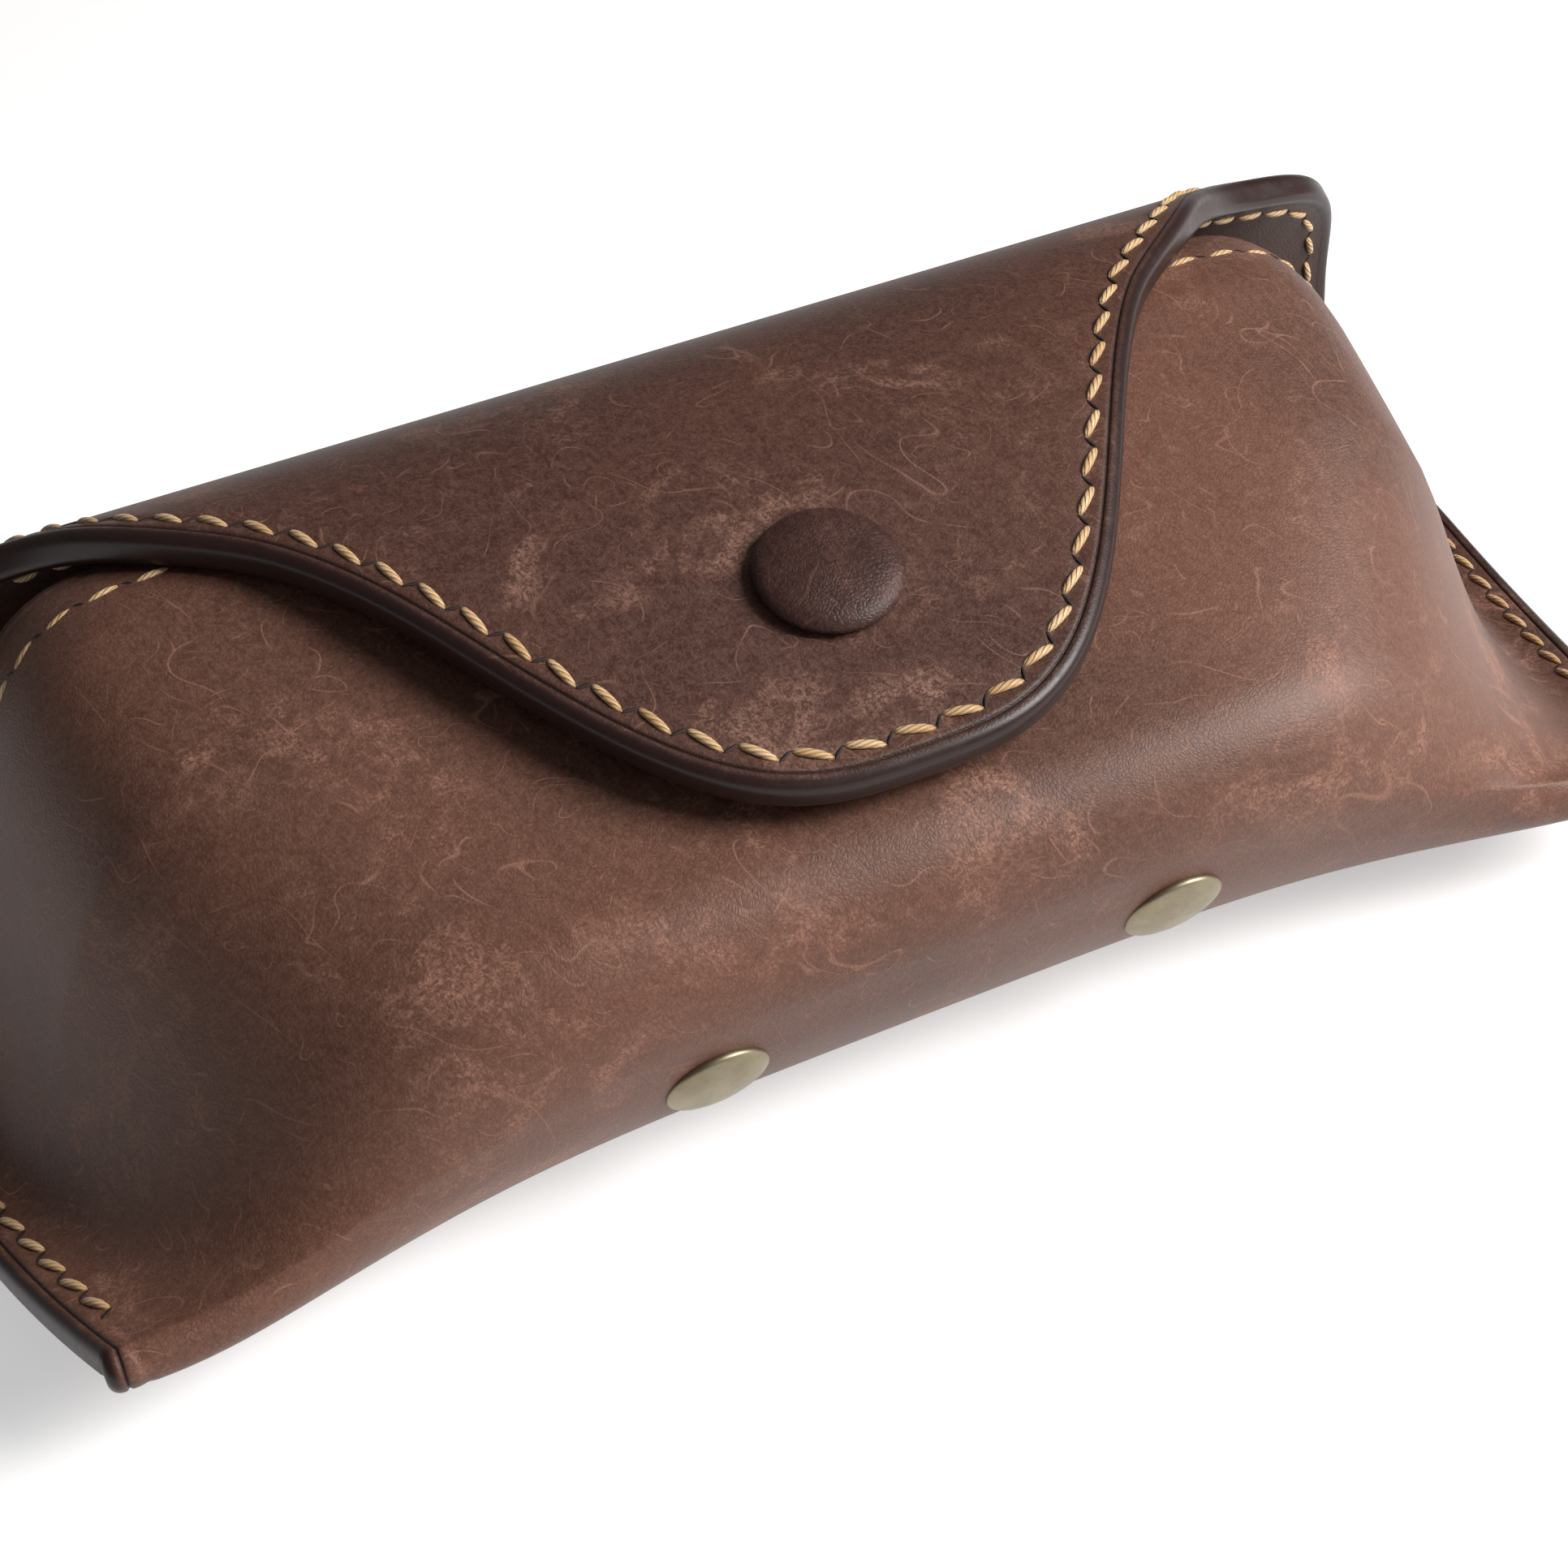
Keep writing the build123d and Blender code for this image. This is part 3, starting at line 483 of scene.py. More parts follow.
burnish_noise = noise(leather_group, place, 400, 3)
wavy = times(leather_group, minus(leather_group, burnish_noise, 0.5), 0.4 * mm)
ragged_edge = plus(leather_group, given["Edge Distance"], wavy)
burnished = ramp(leather_group, ragged_edge, 1.15 * mm, 0.65 * mm)
darkened = ramp(leather_group, ragged_edge, 2.6 * mm, 1.0 * mm)
# The creased line is darkened: partly the leather burnished dark by the creaser, partly painted shade in its
# groove.
off_crease = minus(leather_group, given["Edge Distance"], crease_inset)
burnished_crease_and_shade = ramp(leather_group, calculate(leather_group, "ABSOLUTE", off_crease, 0), 0.24 * mm, 0.03 * mm)

wander = leather_group.nodes.new("ShaderNodeTexNoise")
wander.inputs["Scale"].default_value = 150
wander.inputs["Detail"].default_value = 1
link(leather_group, place, wander.inputs["Vector"])
bent_place = leather_group.nodes.new("ShaderNodeVectorMath")
bent_place.operation = "MULTIPLY_ADD"
bent_place.inputs[1].default_value = (0.004, 0.004, 0.004)
link(leather_group, wander.outputs["Color"], bent_place.inputs[0])
link(leather_group, place, bent_place.inputs[2])
grain_cells = leather_group.nodes.new("ShaderNodeTexVoronoi")
grain_cells.feature = "DISTANCE_TO_EDGE"
grain_cells.inputs["Scale"].default_value = 2300
link(leather_group, bent_place.outputs[0], grain_cells.inputs["Vector"])
pebbles = ramp(leather_group, grain_cells.outputs["Distance"], 0.0, 0.25)
pores = noise(leather_group, place, 3600, 2, 0.6)

colour = mix_colour(leather_group, tone, given["Shade"], given["Ground"])
light_mottle = times(leather_group, mottle, 0.10)
colour = mix_colour(leather_group, light_mottle, colour, given["Scuff"])
colour = mix_colour(leather_group, marks, colour, given["Scuff"])
valleys = times(leather_group, minus(leather_group, 1.0, pebbles), 0.25)
colour = mix_colour(leather_group, valleys, colour, given["Shade"])
edge_colour = (0.020, 0.0085, 0.0075)
colour = mix_colour(leather_group, times(leather_group, darkened, 0.45), colour, edge_colour)
colour = mix_colour(leather_group, times(leather_group, burnished_crease_and_shade, 0.85), colour, edge_colour)
colour = mix_colour(leather_group, times(leather_group, burnished, 0.93), colour, edge_colour)
link(leather_group, colour, result["Color"])
matt = plus(leather_group, times(leather_group, marks, 0.16), 0.45)
matt = plus(leather_group, matt, times(leather_group, mottle, 0.05))
polish = times(leather_group, burnished, 0.14)
link(leather_group, minus(leather_group, matt, polish), result["Roughness"])
rough_grain = times(leather_group, pebbles, 0.012 * mm)
rough_grain = plus(leather_group, rough_grain, times(leather_group, pores, 0.010 * mm))
smooth_share = minus(leather_group, 1.0, times(leather_group, burnished, 0.85))
rough_grain = times(leather_group, rough_grain, smooth_share)
rough_grain = times(leather_group, rough_grain, given["Grain"])
waves = times(leather_group, noise(leather_group, place, 130, 2), 0.06 * mm)
height = plus(leather_group, rough_grain, waves)
link(leather_group, height, result["Height"])


def leather_material(name, ground, shade, scuff, scuffing, grain=1.0):
    """Material of one leather: the shared finish with its own colours."""
    material = bpy.data.materials.new(name)
    tree, shader = shader_nodes(material)
    finish = tree.nodes.new("ShaderNodeGroup")
    finish.node_tree = leather_group
    finish.inputs["Ground"].default_value = (*ground, 1)
    finish.inputs["Shade"].default_value = (*shade, 1)
    finish.inputs["Scuff"].default_value = (*scuff, 1)
    finish.inputs["Scuffing"].default_value = scuffing
    finish.inputs["Grain"].default_value = grain
    coordinates = tree.nodes.new("ShaderNodeTexCoord")
    link(tree, coordinates.outputs["Object"], finish.inputs["Vector"])
    distance = tree.nodes.new("ShaderNodeAttribute")
    distance.attribute_name = "edge_distance"
    link(tree, distance.outputs["Fac"], finish.inputs["Edge Distance"])
    bump = tree.nodes.new("ShaderNodeBump")
    bump.inputs["Strength"].default_value = 1.0
    bump.inputs["Distance"].default_value = 1.0
    link(tree, finish.outputs["Height"], bump.inputs["Height"])
    link(tree, finish.outputs["Color"], shader.inputs["Base Color"])
    link(tree, finish.outputs["Roughness"], shader.inputs["Roughness"])
    link(tree, bump.outputs["Normal"], shader.inputs["Normal"])
    shader.inputs["Specular IOR Level"].default_value = 0.33
    shader.inputs["Sheen Weight"].default_value = 0.02
    shader.inputs["Sheen Roughness"].default_value = 0.40
    return material


# Outer leather over the front
# The flap and the upper half of the fold, cut from a waxed vegetable-tanned side 1.7 mm thick.
outer_leather = 1.7 * mm
lining_leather = 1.4 * mm
edge_radius = 1.15 * mm
lining_round = 0.85 * mm
tip_spine = 22 * mm
front_rows = 190
spine_shares = np.linspace(0, 1, 22)[1:] ** 0.9
settle_run = 8 * mm
spine_distance = 40 * mm

front_edge = resample(right_outline[right_outline[:, 1] <= split_line], front_rows)
front_edge[-1, 1] = split_line
heading = np.gradient(front_edge, axis=0)
heading /= np.linalg.norm(heading, axis=1, keepdims=True)
settle = np.clip((split_line - front_edge[:, 1]) / settle_run, 0, 1)[:, None]
inward = np.stack([-heading[:, 1], heading[:, 0]], 1)
inward = inward * settle + np.array([-1.0, 0.0]) * (1 - settle)
inward[0] = (0, 1)
inward /= np.linalg.norm(inward, axis=1, keepdims=True)
tip_over = front_edge[0, 1]
spine_start = tip_over + tip_spine
spine_run = split_line - spine_start
spine_over = spine_start + (front_edge[:, 1] - tip_over) * spine_run / (split_line - tip_over)
inset = front_edge[:, None, :] + edge_steps[None, :, None] * inward[:, None, :]
spine = np.stack([np.zeros(front_rows), spine_over], -1)
bridge = inset[:, -1:, :] + spine_shares[None, :, None] * (spine - inset[:, -1, :])[:, None, :]
half_plan = np.concatenate([inset, bridge], 1)
half_distance = np.concatenate([edge_steps, edge_steps[-1] + spine_shares * spine_distance])
front_plan = np.concatenate([half_plan[:, :-1] * (-1, 1), half_plan[:, ::-1]], 1)
row_distance = np.concatenate([half_distance[:-1], half_distance[::-1]])
front_distance = np.broadcast_to(row_distance, front_plan.shape[:2])
front_points, front_normals = wrap_surface(front_plan[..., 0], front_plan[..., 1])


flap_leather = leather("flap_leather", front_points, front_normals, front_distance,
                       0, outer_leather, edge_radius, 0, folded=True)
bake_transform(flap_leather)
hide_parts("flap", "fold_band")
outer_brown = leather_material("flap_brown_leather", (0.076, 0.029, 0.018), (0.047, 0.018, 0.013),
                               (0.34, 0.180, 0.130), 1.0)
flap_leather.data.materials.append(outer_brown)

flap_lining_leather = leather("flap_lining_leather", front_points, front_normals, front_distance,
                              outer_leather, lining_leather, 0, lining_round, face_lines=False, folded=True)
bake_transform(flap_lining_leather)
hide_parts("flap_lining", "fold_lining")
inner_leather = leather_material("inner_leather", (0.085, 0.038, 0.026), (0.050, 0.023, 0.017),
                                 (0.20, 0.105, 0.075), 0.35)
flap_lining_leather.data.materials.append(inner_leather)


# Outer leather down the back
# The same leather from the middle of the fold down and along the flat back to the bottom edge, where the
# corners curl up. Its width follows the outline in the fold and the side seams below.
bottom_half_width = 71.5 * mm
mouth_height = 58 * mm
seam_bow = 0.56
flange_width = 4.6 * mm
corner_lift = 10.5 * mm
corner_lift_length = 50 * mm
corner_nose = 2.05 * mm
under_reach = 27.5 * mm
wall_run_bottom = 24.8 * mm
wall_run_mouth = 12.5 * mm


def half_width(y):
    """Half width of the pocket: from the bottom to the mouth along a gently bowed parabola."""
    share = y / mouth_height
    spread = mouth_half_width - bottom_half_width
    return bottom_half_width + spread * ((1 + seam_bow) * share - seam_bow * share**2)


def lift(y):
    """Height of the seam's underside: a parabola that curls the bottom corners up."""
    return corner_lift * np.clip(1 - y / corner_lift_length, 0, None) ** 2


def wall(x, edge, run):
    """Rounded side wall: 1 - exp(-(d / run)^2), d in from the flange, scaled to reach 1 in the middle."""
    inside = np.clip(edge - flange_width - np.abs(x), 0, None)
    return (1 - np.exp(-((inside / run) ** 2))) / (1 - np.exp(-(((edge - flange_width) / run) ** 2)))


def wall_run(share):
    """Softness of the side wall, from wide at the bottom to tight near the mouth."""
    return wall_run_bottom + (wall_run_mouth - wall_run_bottom) * np.clip(share / 0.55, 0, 1) ** 0.8


def across_columns(edge, steps, middle):
    """Columns across a leather: fixed steps in from both edges, then even shares to the middle."""
    edge = np.asarray(edge)[:, None]
    side = edge - steps[None, :]
    centre = (edge - steps[-1]) * (1 - middle[None, 1:])
    half = np.concatenate([side, centre], 1)
    return np.concatenate([-half[:, :-1], half[:, ::-1]], 1)


def edge_distances(x, edge):
    """Distance from the nearer side edge: half width - |x|."""
    return np.asarray(edge)[:, None] - np.abs(x)


fold_overs = np.linspace(split_line, wrap_end, 44)
fold_edges = np.interp(fold_overs, right_outline[:, 1], right_outline[:, 0])
fold_edges[0] = front_edge[-1, 0]
middle_shares = np.concatenate([[0], spine_shares])
fold_x = across_columns(fold_edges, edge_steps, middle_shares)
fold_points, _ = wrap_surface(fold_x, fold_overs[:, None] + 0 * fold_x)
butt_overlap = 0.05 * mm
back_first = corner_nose - butt_overlap
under_first = under_reach - butt_overlap
flat_end = fold_centre + fold_radius - back_radius
back_shares = np.linspace(1, 0, 60)[1:]
seam_y = back_first + back_shares * (mouth_height - back_first)
back_edges = half_width(seam_y)
back_x = across_columns(back_edges, edge_steps, middle_shares)
rise = wall(back_x, back_edges[:, None], wall_run(back_shares)[:, None])
seam_z = lift(seam_y)[:, None] - rest_cut
centre_y = (under_first + back_shares * (flat_end - under_first))[:, None]
back_points = np.stack([back_x, seam_y[:, None] + (centre_y - seam_y[:, None]) * rise + middle_y,
                        np.maximum(seam_z + (-rest_cut - seam_z) * rise, 0)], -1)
rear_points = np.concatenate([fold_points, back_points])
rear_points[..., 2] = np.maximum(rear_points[..., 2], 0)
rear_normals = -surface_normals(rear_points[:, ::-1])[:, ::-1]
rear_normals *= -np.sign(rear_normals[-1, rear_normals.shape[1] // 2, 2])
rear_distance = edge_distances(np.concatenate([fold_x, back_x]), np.concatenate([fold_edges, back_edges]))
rear_normals[0] = wrap_surface(fold_x[:1], np.full(fold_x[:1].shape, split_line))[1]

back_leather = leather("back_leather", rear_points, rear_normals, rear_distance,
                       0, outer_leather, edge_radius, 0)
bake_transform(back_leather)
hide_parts("back_panel")
back_leather.data.materials.append(outer_brown)


# Lining down the back
# It runs from the fold into the pocket, narrower between the side walls, and ends 8 mm below the mouth.
lining_end = 50 * mm
lining_clearance = 3.2 * mm
lining_overs = np.concatenate([fold_overs, wrap_end + np.linspace(0, flat_end - lining_end, 12)[1:]])
lining_y = np.clip(flat_end - (lining_overs - wrap_end), 0, flat_end)
narrow = np.clip((lining_overs - wrap_end + 1.5 * mm) / (1.5 * mm), 0, 1)
lining_edges = np.interp(lining_overs, right_outline[:, 1], right_outline[:, 0])
lining_edges[0] = front_edge[-1, 0]
inside_edges = half_width(lining_y) - flange_width - lining_clearance
lining_edges = lining_edges + narrow * (inside_edges - lining_edges)
lining_x = across_columns(lining_edges, edge_steps, middle_shares)
lining_points, lining_normals = wrap_surface(lining_x, lining_overs[:, None] + 0 * lining_x)
lining_distance = edge_distances(lining_x, lining_edges)
back_lining_leather = leather("back_lining_leather", lining_points, lining_normals, lining_distance,
                              outer_leather, lining_leather, 0, lining_round, face_lines=False)
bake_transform(back_lining_leather)
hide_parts("back_lining")
back_lining_leather.data.materials.append(inner_leather)


# Front panel
# Wet-moulded leather with flat side flanges. It is wrapped round the bottom, and its upper edge is the mouth.
front_leather = 1.7 * mm
facing_leather = 1.2 * mm
under_radius = 25.5 * mm
bottom_lean = math.radians(16)
ridge_radius = 9 * mm
rest_gap = 0.4 * mm
snap_gap = 2.4 * mm
flap_stack = outer_leather + lining_leather
seam_gap = 0.3 * mm
flange_height = outer_leather + front_leather + seam_gap


def front_course():
    """Middle section of the front: under curve, bottom face, ridge, sloping face, crest and mouth arc; the
    two straight runs are solved so that the crest lies at the fold's centre, just under the lining."""
    inner_radius = fold_radius - flap_stack - rest_gap
    apex = (fold_centre, fold_top - flap_stack - rest_gap)
    face_offset = flap_stack + snap_gap
    crest_radius = flap_crown_radius - (
        face_offset - (flap_stack + rest_gap) * math.cos(flap_slope)) / (1 - math.cos(flap_slope))
    under_turn = math.pi / 2 - bottom_lean
    ridge_turn = math.pi / 2 + bottom_lean - flap_slope
    mouth_turn = math.asin((mouth_height - fold_centre) / inner_radius)
    under = (under_radius * under_turn, -under_turn)
    ridge = (ridge_radius * ridge_turn, -ridge_turn)
    crest = (crest_radius * flap_slope, -flap_slope)
    bent = under[0] + ridge[0] + crest[0]
    y, z, _ = path_point((under_reach, -rest_cut), math.pi, [under, ridge, crest], bent)
    climb = math.pi / 2 + bottom_lean
    directions = [[math.cos(climb), math.cos(flap_slope)], [math.sin(climb), math.sin(flap_slope)]]
    bottom_run, face_run = np.linalg.solve(directions, [apex[0] - float(y), apex[1] - float(z)])
    return [under, (bottom_run, 0), ridge, (face_run, 0), crest, (inner_radius * mouth_turn, -mouth_turn)]


front_pieces = front_course()
front_length = sum(length for length, _ in front_pieces)
nose_share = (front_pieces[0][0] + front_pieces[1][0]) / front_length


def flange_top(y):
    """Upper side of the seam: both leathers are measured square to the lifted seam."""
    fall = 2 * corner_lift / corner_lift_length * np.clip(1 - y / corner_lift_length, 0, None)
    return lift(y) - rest_cut + flange_height * np.sqrt(1 + fall**2)


def seam_course(v):
    """Seam at the front's side edge: half round the nose at the bottom, then up along the flange."""
    turn = np.clip(v / nose_share, 0, 1) * math.pi
    share = np.clip((v - nose_share) / (1 - nose_share), 0, 1)
    seam = corner_nose + (mouth_height - corner_nose) * share**1.05
    on_nose = v < nose_share
    nose_middle = flange_top(corner_nose) - corner_nose
    z = np.where(on_nose, nose_middle - corner_nose * np.cos(turn), flange_top(seam))
    return np.where(on_nose, corner_nose * (1 - np.sin(turn)), seam), z, half_width(seam), share


def front_surface(x, v):
    """Front's outer face: seam + (middle section - seam) * wall, for columns x and rows v."""
    y0, z0, edge, share = seam_course(v)
    y1, z1, _ = path_point((under_reach, -rest_cut), math.pi, front_pieces, v * front_length)
    rise = wall(x, edge, wall_run(share))
    return np.stack([x, y0 + (y1 - y0) * rise + middle_y, np.maximum(z0 + (z1 - z0) * rise, 0)], -1)


nose_rows = np.linspace(0, nose_share, 40)
face_rows = np.linspace(nose_share, 1 - edge_steps[-1] / front_length, 76)[1:]
mouth_rows = 1 - edge_steps[::-1] / front_length
panel_v = np.concatenate([nose_rows, face_rows, mouth_rows[1:]])
panel_edges = seam_course(panel_v)[2]
panel_shares = np.linspace(0, 1, 44)
panel_x = across_columns(panel_edges, edge_steps, panel_shares)
panel_points = front_surface(panel_x, panel_v[:, None] + 0 * panel_x)
panel_normals = surface_normals(panel_points)
panel_distance = np.minimum(edge_distances(panel_x, panel_edges), (1 - panel_v[:, None]) * front_length)
# Along the sides the front is pressed and glued onto the back leather, so its flanges fill the seam
panel_glued = seam_gap * np.clip((flange_width - edge_distances(panel_x, panel_edges)) / mm + 1, 0, 1)
front_leather_piece = leather("front_leather", panel_points, panel_normals, panel_distance,
                              0, front_leather + panel_glued, 1.0 * mm, 0)
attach(front_leather_piece, "case")
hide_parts("front_panel")
front_brown = leather_material("brown_leather", (0.131, 0.055, 0.034), (0.060, 0.024, 0.016),
                               (0.40, 0.205, 0.145), 1.0)
front_leather_piece.data.materials.append(front_brown)


# Facing and bottom strip
# A strip of lining leather behind the mouth's edge, and one inside the bottom that backs the rivets.
facing_depth = 12 * mm
facing_side_margin = 5.5 * mm
facing_v = np.concatenate([np.linspace(1 - facing_depth / front_length, mouth_rows[0], 6)[:-1], mouth_rows])
facing_edges = seam_course(facing_v)[2] - flange_width - facing_side_margin
facing_x = across_columns(facing_edges, edge_steps[::3], panel_shares)
facing_points = front_surface(facing_x, facing_v[:, None] + 0 * facing_x)
facing_distance = (1 - facing_v[:, None]) * front_length + 0 * facing_x
mouth_facing_strip = leather("mouth_facing_strip", facing_points, surface_normals(facing_points),
                             facing_distance, front_leather, facing_leather, 0, 0.8 * mm,
                             face_lines=False)
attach(mouth_facing_strip, "case")
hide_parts("mouth_facing")
mouth_facing_strip.data.materials.append(inner_leather)

strip_half_width = 30 * mm
strip_top_share = 0.62 * nose_share
strip_foot = 10 * mm
strip_gap = 0.2 * mm
strip_v = np.linspace(strip_top_share, 0, 30)
strip_x = np.linspace(-strip_half_width, strip_half_width, 31)
strip_upper = front_surface(*np.meshgrid(strip_x, strip_v))
strip_back_share = np.linspace(0, strip_foot / (flat_end - under_reach), 8)[1:]
strip_seam = back_first + strip_back_share * (mouth_height - back_first)
strip_grid_x = np.broadcast_to(strip_x, (len(strip_back_share), len(strip_x)))
strip_rise = wall(strip_grid_x, half_width(strip_seam)[:, None], wall_run(strip_back_share)[:, None])
strip_centre = (under_first + strip_back_share * (flat_end - under_first))[:, None]
strip_seam_z = lift(strip_seam)[:, None] - rest_cut
strip_lower_y = strip_seam[:, None] + (strip_centre - strip_seam[:, None]) * strip_rise + middle_y
strip_lower_z = np.maximum(strip_seam_z * (1 - strip_rise) - rest_cut * strip_rise, 0)
strip_lower = np.stack([strip_grid_x, strip_lower_y, strip_lower_z], -1)
strip_points = np.concatenate([strip_upper, strip_lower])
strip_normals = surface_normals(strip_points[::-1])[::-1]
strip_distance = np.full(strip_points.shape[:2], 9 * mm)
inner_strip = leather("inner_strip", strip_points, strip_normals, strip_distance,
                      outer_leather + strip_gap, lining_leather, 0, 0, face_lines=False)
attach(inner_strip, "case")
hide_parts("bottom_strip")
inner_strip.data.materials.append(inner_leather)


# Stitches
# Golden-tan waxed thread, saddle stitched by hand through slanted awl holes: one seam runs from the left
# bottom corner up the side, round the flap and down the other side, and one row closes the mouth's edge.
stitch_pitch = 4.2 * mm
side_seam_start = 6 * mm
mouth_stitch_inset = 8 * mm
stitch_sides = 8
stitch_rings = 8
stitch_half_width = 0.40 * mm
stitch_half_height = 0.32 * mm
stitch_bow = 0.34 * mm
stitch_sink = 0.22 * mm
stitch_shares = (0.06, 0.93)
slit_half_width = 0.15 * mm
slit_half_height = 0.06 * mm
slit_run = 0.11
mouth_slant = 0.30 * mm
mouth_stand = -0.12 * mm


def even_holes(points, pitch):
    """Places along a polyline, evenly spaced near the pitch: returned as positions in the list of points."""
    along = np.concatenate([[0], np.cumsum(np.linalg.norm(np.diff(points, axis=0), axis=1))])
    count = int(round(along[-1] / pitch)) + 1
    return np.interp(np.linspace(0, along[-1], count), along, np.arange(len(points)))


def at_places(values, places):
    """Rows of an array, interpolated at positions in the list."""
    steps = np.arange(len(values))
    return np.stack([np.interp(places, steps, values[:, k]) for k in range(values.shape[1])], -1)


def unit(v):
    """Vectors divided by their length."""
    return v / np.linalg.norm(v, axis=-1, keepdims=True)


def bead_mesh(name, starts, ends, normals, half_width, half_height, bow, sink):
    """Flattened beads from starts to ends. Ring t lies at start + t (end - start), raised along the normal
    by bow sin(pi t)^0.6 - sink, and its section is an ellipse that narrows to both ends by
    (1 - |2t - 1|^2.6)^0.7."""
    t = np.linspace(0.02, 0.98, stitch_rings)
    phi = np.arange(stitch_sides) / stitch_sides * 2 * math.pi
    along = unit(ends - starts)
    normals = unit(normals - (normals * along).sum(-1, keepdims=True) * along)
    across = np.cross(normals, along)
    narrow = (1 - np.abs(2 * t - 1) ** 2.6) ** 0.7
    lift_t = bow * np.sin(math.pi * t) ** 0.6 - sink
    run_t = t[None, :, None] * (ends - starts)[:, None]
    middle = starts[:, None] + run_t + lift_t[None, :, None] * normals[:, None]
    section = (half_width * np.cos(phi)[:, None] * across[:, None, None]
               + half_height * np.sin(phi)[:, None] * normals[:, None, None])
    points = middle[:, :, None] + narrow[None, :, None, None] * section
    index = np.arange(points[..., 0].size).reshape(points.shape[:3])
    following = np.roll(index, -1, axis=2)
    quads = np.stack([index[:, :-1], following[:, :-1], following[:, 1:], index[:, 1:]], -1).reshape(-1, 4)
    caps = index[:, 0, ::-1].tolist() + index[:, -1].tolist()
    mesh = bpy.data.meshes.new(name)
    mesh.from_pydata(points.reshape(-1, 3).tolist(), [], quads.tolist() + caps)
    side = np.arange(stitch_sides) / stitch_sides
    ring = np.arange(stitch_rings - 1) / (stitch_rings - 1)
    u0, v0 = np.meshgrid(side, ring)
    u1, v1 = u0 + 1 / stitch_sides, v0 + 1 / (stitch_rings - 1)
    corners = np.stack([np.stack([u0, v0], -1), np.stack([u1, v0], -1), np.stack([u1, v1], -1),
                        np.stack([u0, v1], -1)], 2)
    layer = mesh.uv_layers.new(name="UVMap")
    wound = np.tile(corners.reshape(1, -1, 2), (len(starts), 1, 1)).reshape(-1, 2)
    closed = np.zeros((len(mesh.loops) - len(wound), 2))
    layer.data.foreach_set("uv", np.concatenate([wound, closed]).ravel().astype(np.float32))
    mesh.polygons.foreach_set("use_smooth", np.ones(len(mesh.polygons), bool))
    piece = bpy.data.objects.new(name, mesh)
    bpy.context.scene.collection.objects.link(piece)
    return piece


def stitches(name, holes, inward, normals, slant, stand):
    """One thread over each pair of neighbouring holes, starting on the inner side and ending nearer the edge,
    raised along the normals by the stand of its first hole."""
    first = holes[:-1] + slant * inward[:-1]
    last = holes[1:] - slant * inward[1:]
    step = last - first
    level = unit(normals[:-1] + normals[1:])
    low, high = stitch_shares
    raised = stand[:-1, None] * level
    return bead_mesh(name, first + low * step + raised, first + high * step + raised, level,
                     stitch_half_width, stitch_half_height, stitch_bow, stitch_sink)


def awl_hole_shades(name, holes, inward, normals, slant):
    """Dark slit at each hole, from the end of one stitch to the start of the next: painted shade in the awl's
    open cut.
    """
    along = np.gradient(holes, axis=0)
    reach = slant * inward + slit_run * along
    return bead_mesh(name, holes - reach, holes + reach, normals, slit_half_width, slit_half_height, 0, 0)


seam_line = right_outline[right_outline[:, 1] < wrap_end]
seam_heading = unit(np.gradient(seam_line, axis=0))
seam_plan = seam_line + stitch_inset * np.stack([-seam_heading[:, 1], seam_heading[:, 0]], 1)
seam_plan[0, 0] = 0
upper_points, upper_normals = wrap_surface(seam_plan[:, 0], seam_plan[:, 1])
upper_depth = np.full(len(upper_points), flap_stack)
flat_y = np.linspace(mouth_height, side_seam_start, 400)[1:]
flat_x = half_width(flat_y) - stitch_inset
flat_points = np.stack([flat_x, flat_y + middle_y, np.maximum(lift(flat_y) - rest_cut, 0)], 1)
flat_fall = 2 * corner_lift / corner_lift_length * np.clip(1 - flat_y / corner_lift_length, 0, None)
flat_normals = unit(np.stack([0 * flat_y, -flat_fall, -np.ones(len(flat_y))], 1))
flat_depth = (flange_top(flat_y) - flat_points[:, 2]) / np.sqrt(1 + flat_fall**2)
right_seam = np.concatenate([upper_points, flat_points])
right_seam[:, 2] = np.maximum(right_seam[:, 2], 0)
right_normals = np.concatenate([upper_normals, flat_normals])
right_depth = np.concatenate([upper_depth, flat_depth])
right_over = np.concatenate([seam_plan[:, 1], wrap_end + mouth_height - flat_y])
mirror = np.array([-1, 1, 1])
seam_points = np.concatenate([right_seam[:0:-1] * mirror, right_seam])
seam_normals = np.concatenate([right_normals[:0:-1] * mirror, right_normals])
seam_values = np.stack([np.concatenate([right_depth[:0:-1], right_depth]),
                        np.concatenate([right_over[:0:-1], right_over])], 1)
hole_places = even_holes(seam_points, stitch_pitch)
holes = at_places(seam_points, hole_places)
hole_normals = unit(at_places(seam_normals, hole_places))
hole_depth, hole_over = at_places(seam_values, hole_places).T
hole_along = unit(np.gradient(holes, axis=0))
hole_inward = unit(np.cross(hole_normals, hole_along))
tip_hole = np.argmin(np.abs(holes[:, 0]) + hole_over)
if hole_inward[tip_hole, 1] < 0:
    hole_inward = -hole_inward
lining_holes = holes - hole_depth[:, None] * hole_normals
# Under the case the threads are pressed into the leather, level with its underside
hole_stand = -0.46 * mm * np.clip(1 - (holes[:, 2] - mm) / (2 * mm), 0, 1)


def seam_part(name, first, last, cad_nodes, outer_slant, lining_slant):
    """Stitches of part of the seam, and the painted shade of its awl holes, on both sides of the leather."""
    span = slice(first, last + 1)
    for side, spots, normals, slant, stand in (
            ("outer", holes, hole_normals, outer_slant, hole_stand),
            ("inner", lining_holes, -hole_normals, lining_slant, 0 * hole_stand)):
        thread = stitches(f"{name}_stitches_{side}", spots[span], hole_inward[span], normals[span], slant,
                          stand[span])
        slits = awl_hole_shades(f"{name}_awl_holes_{side}", spots[span], hole_inward[span], normals[span], slant)
        for piece in (thread, slits):
            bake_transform(piece)
        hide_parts(*cad_nodes)
        seam_threads.append(thread)
        seam_slits.append(slits)


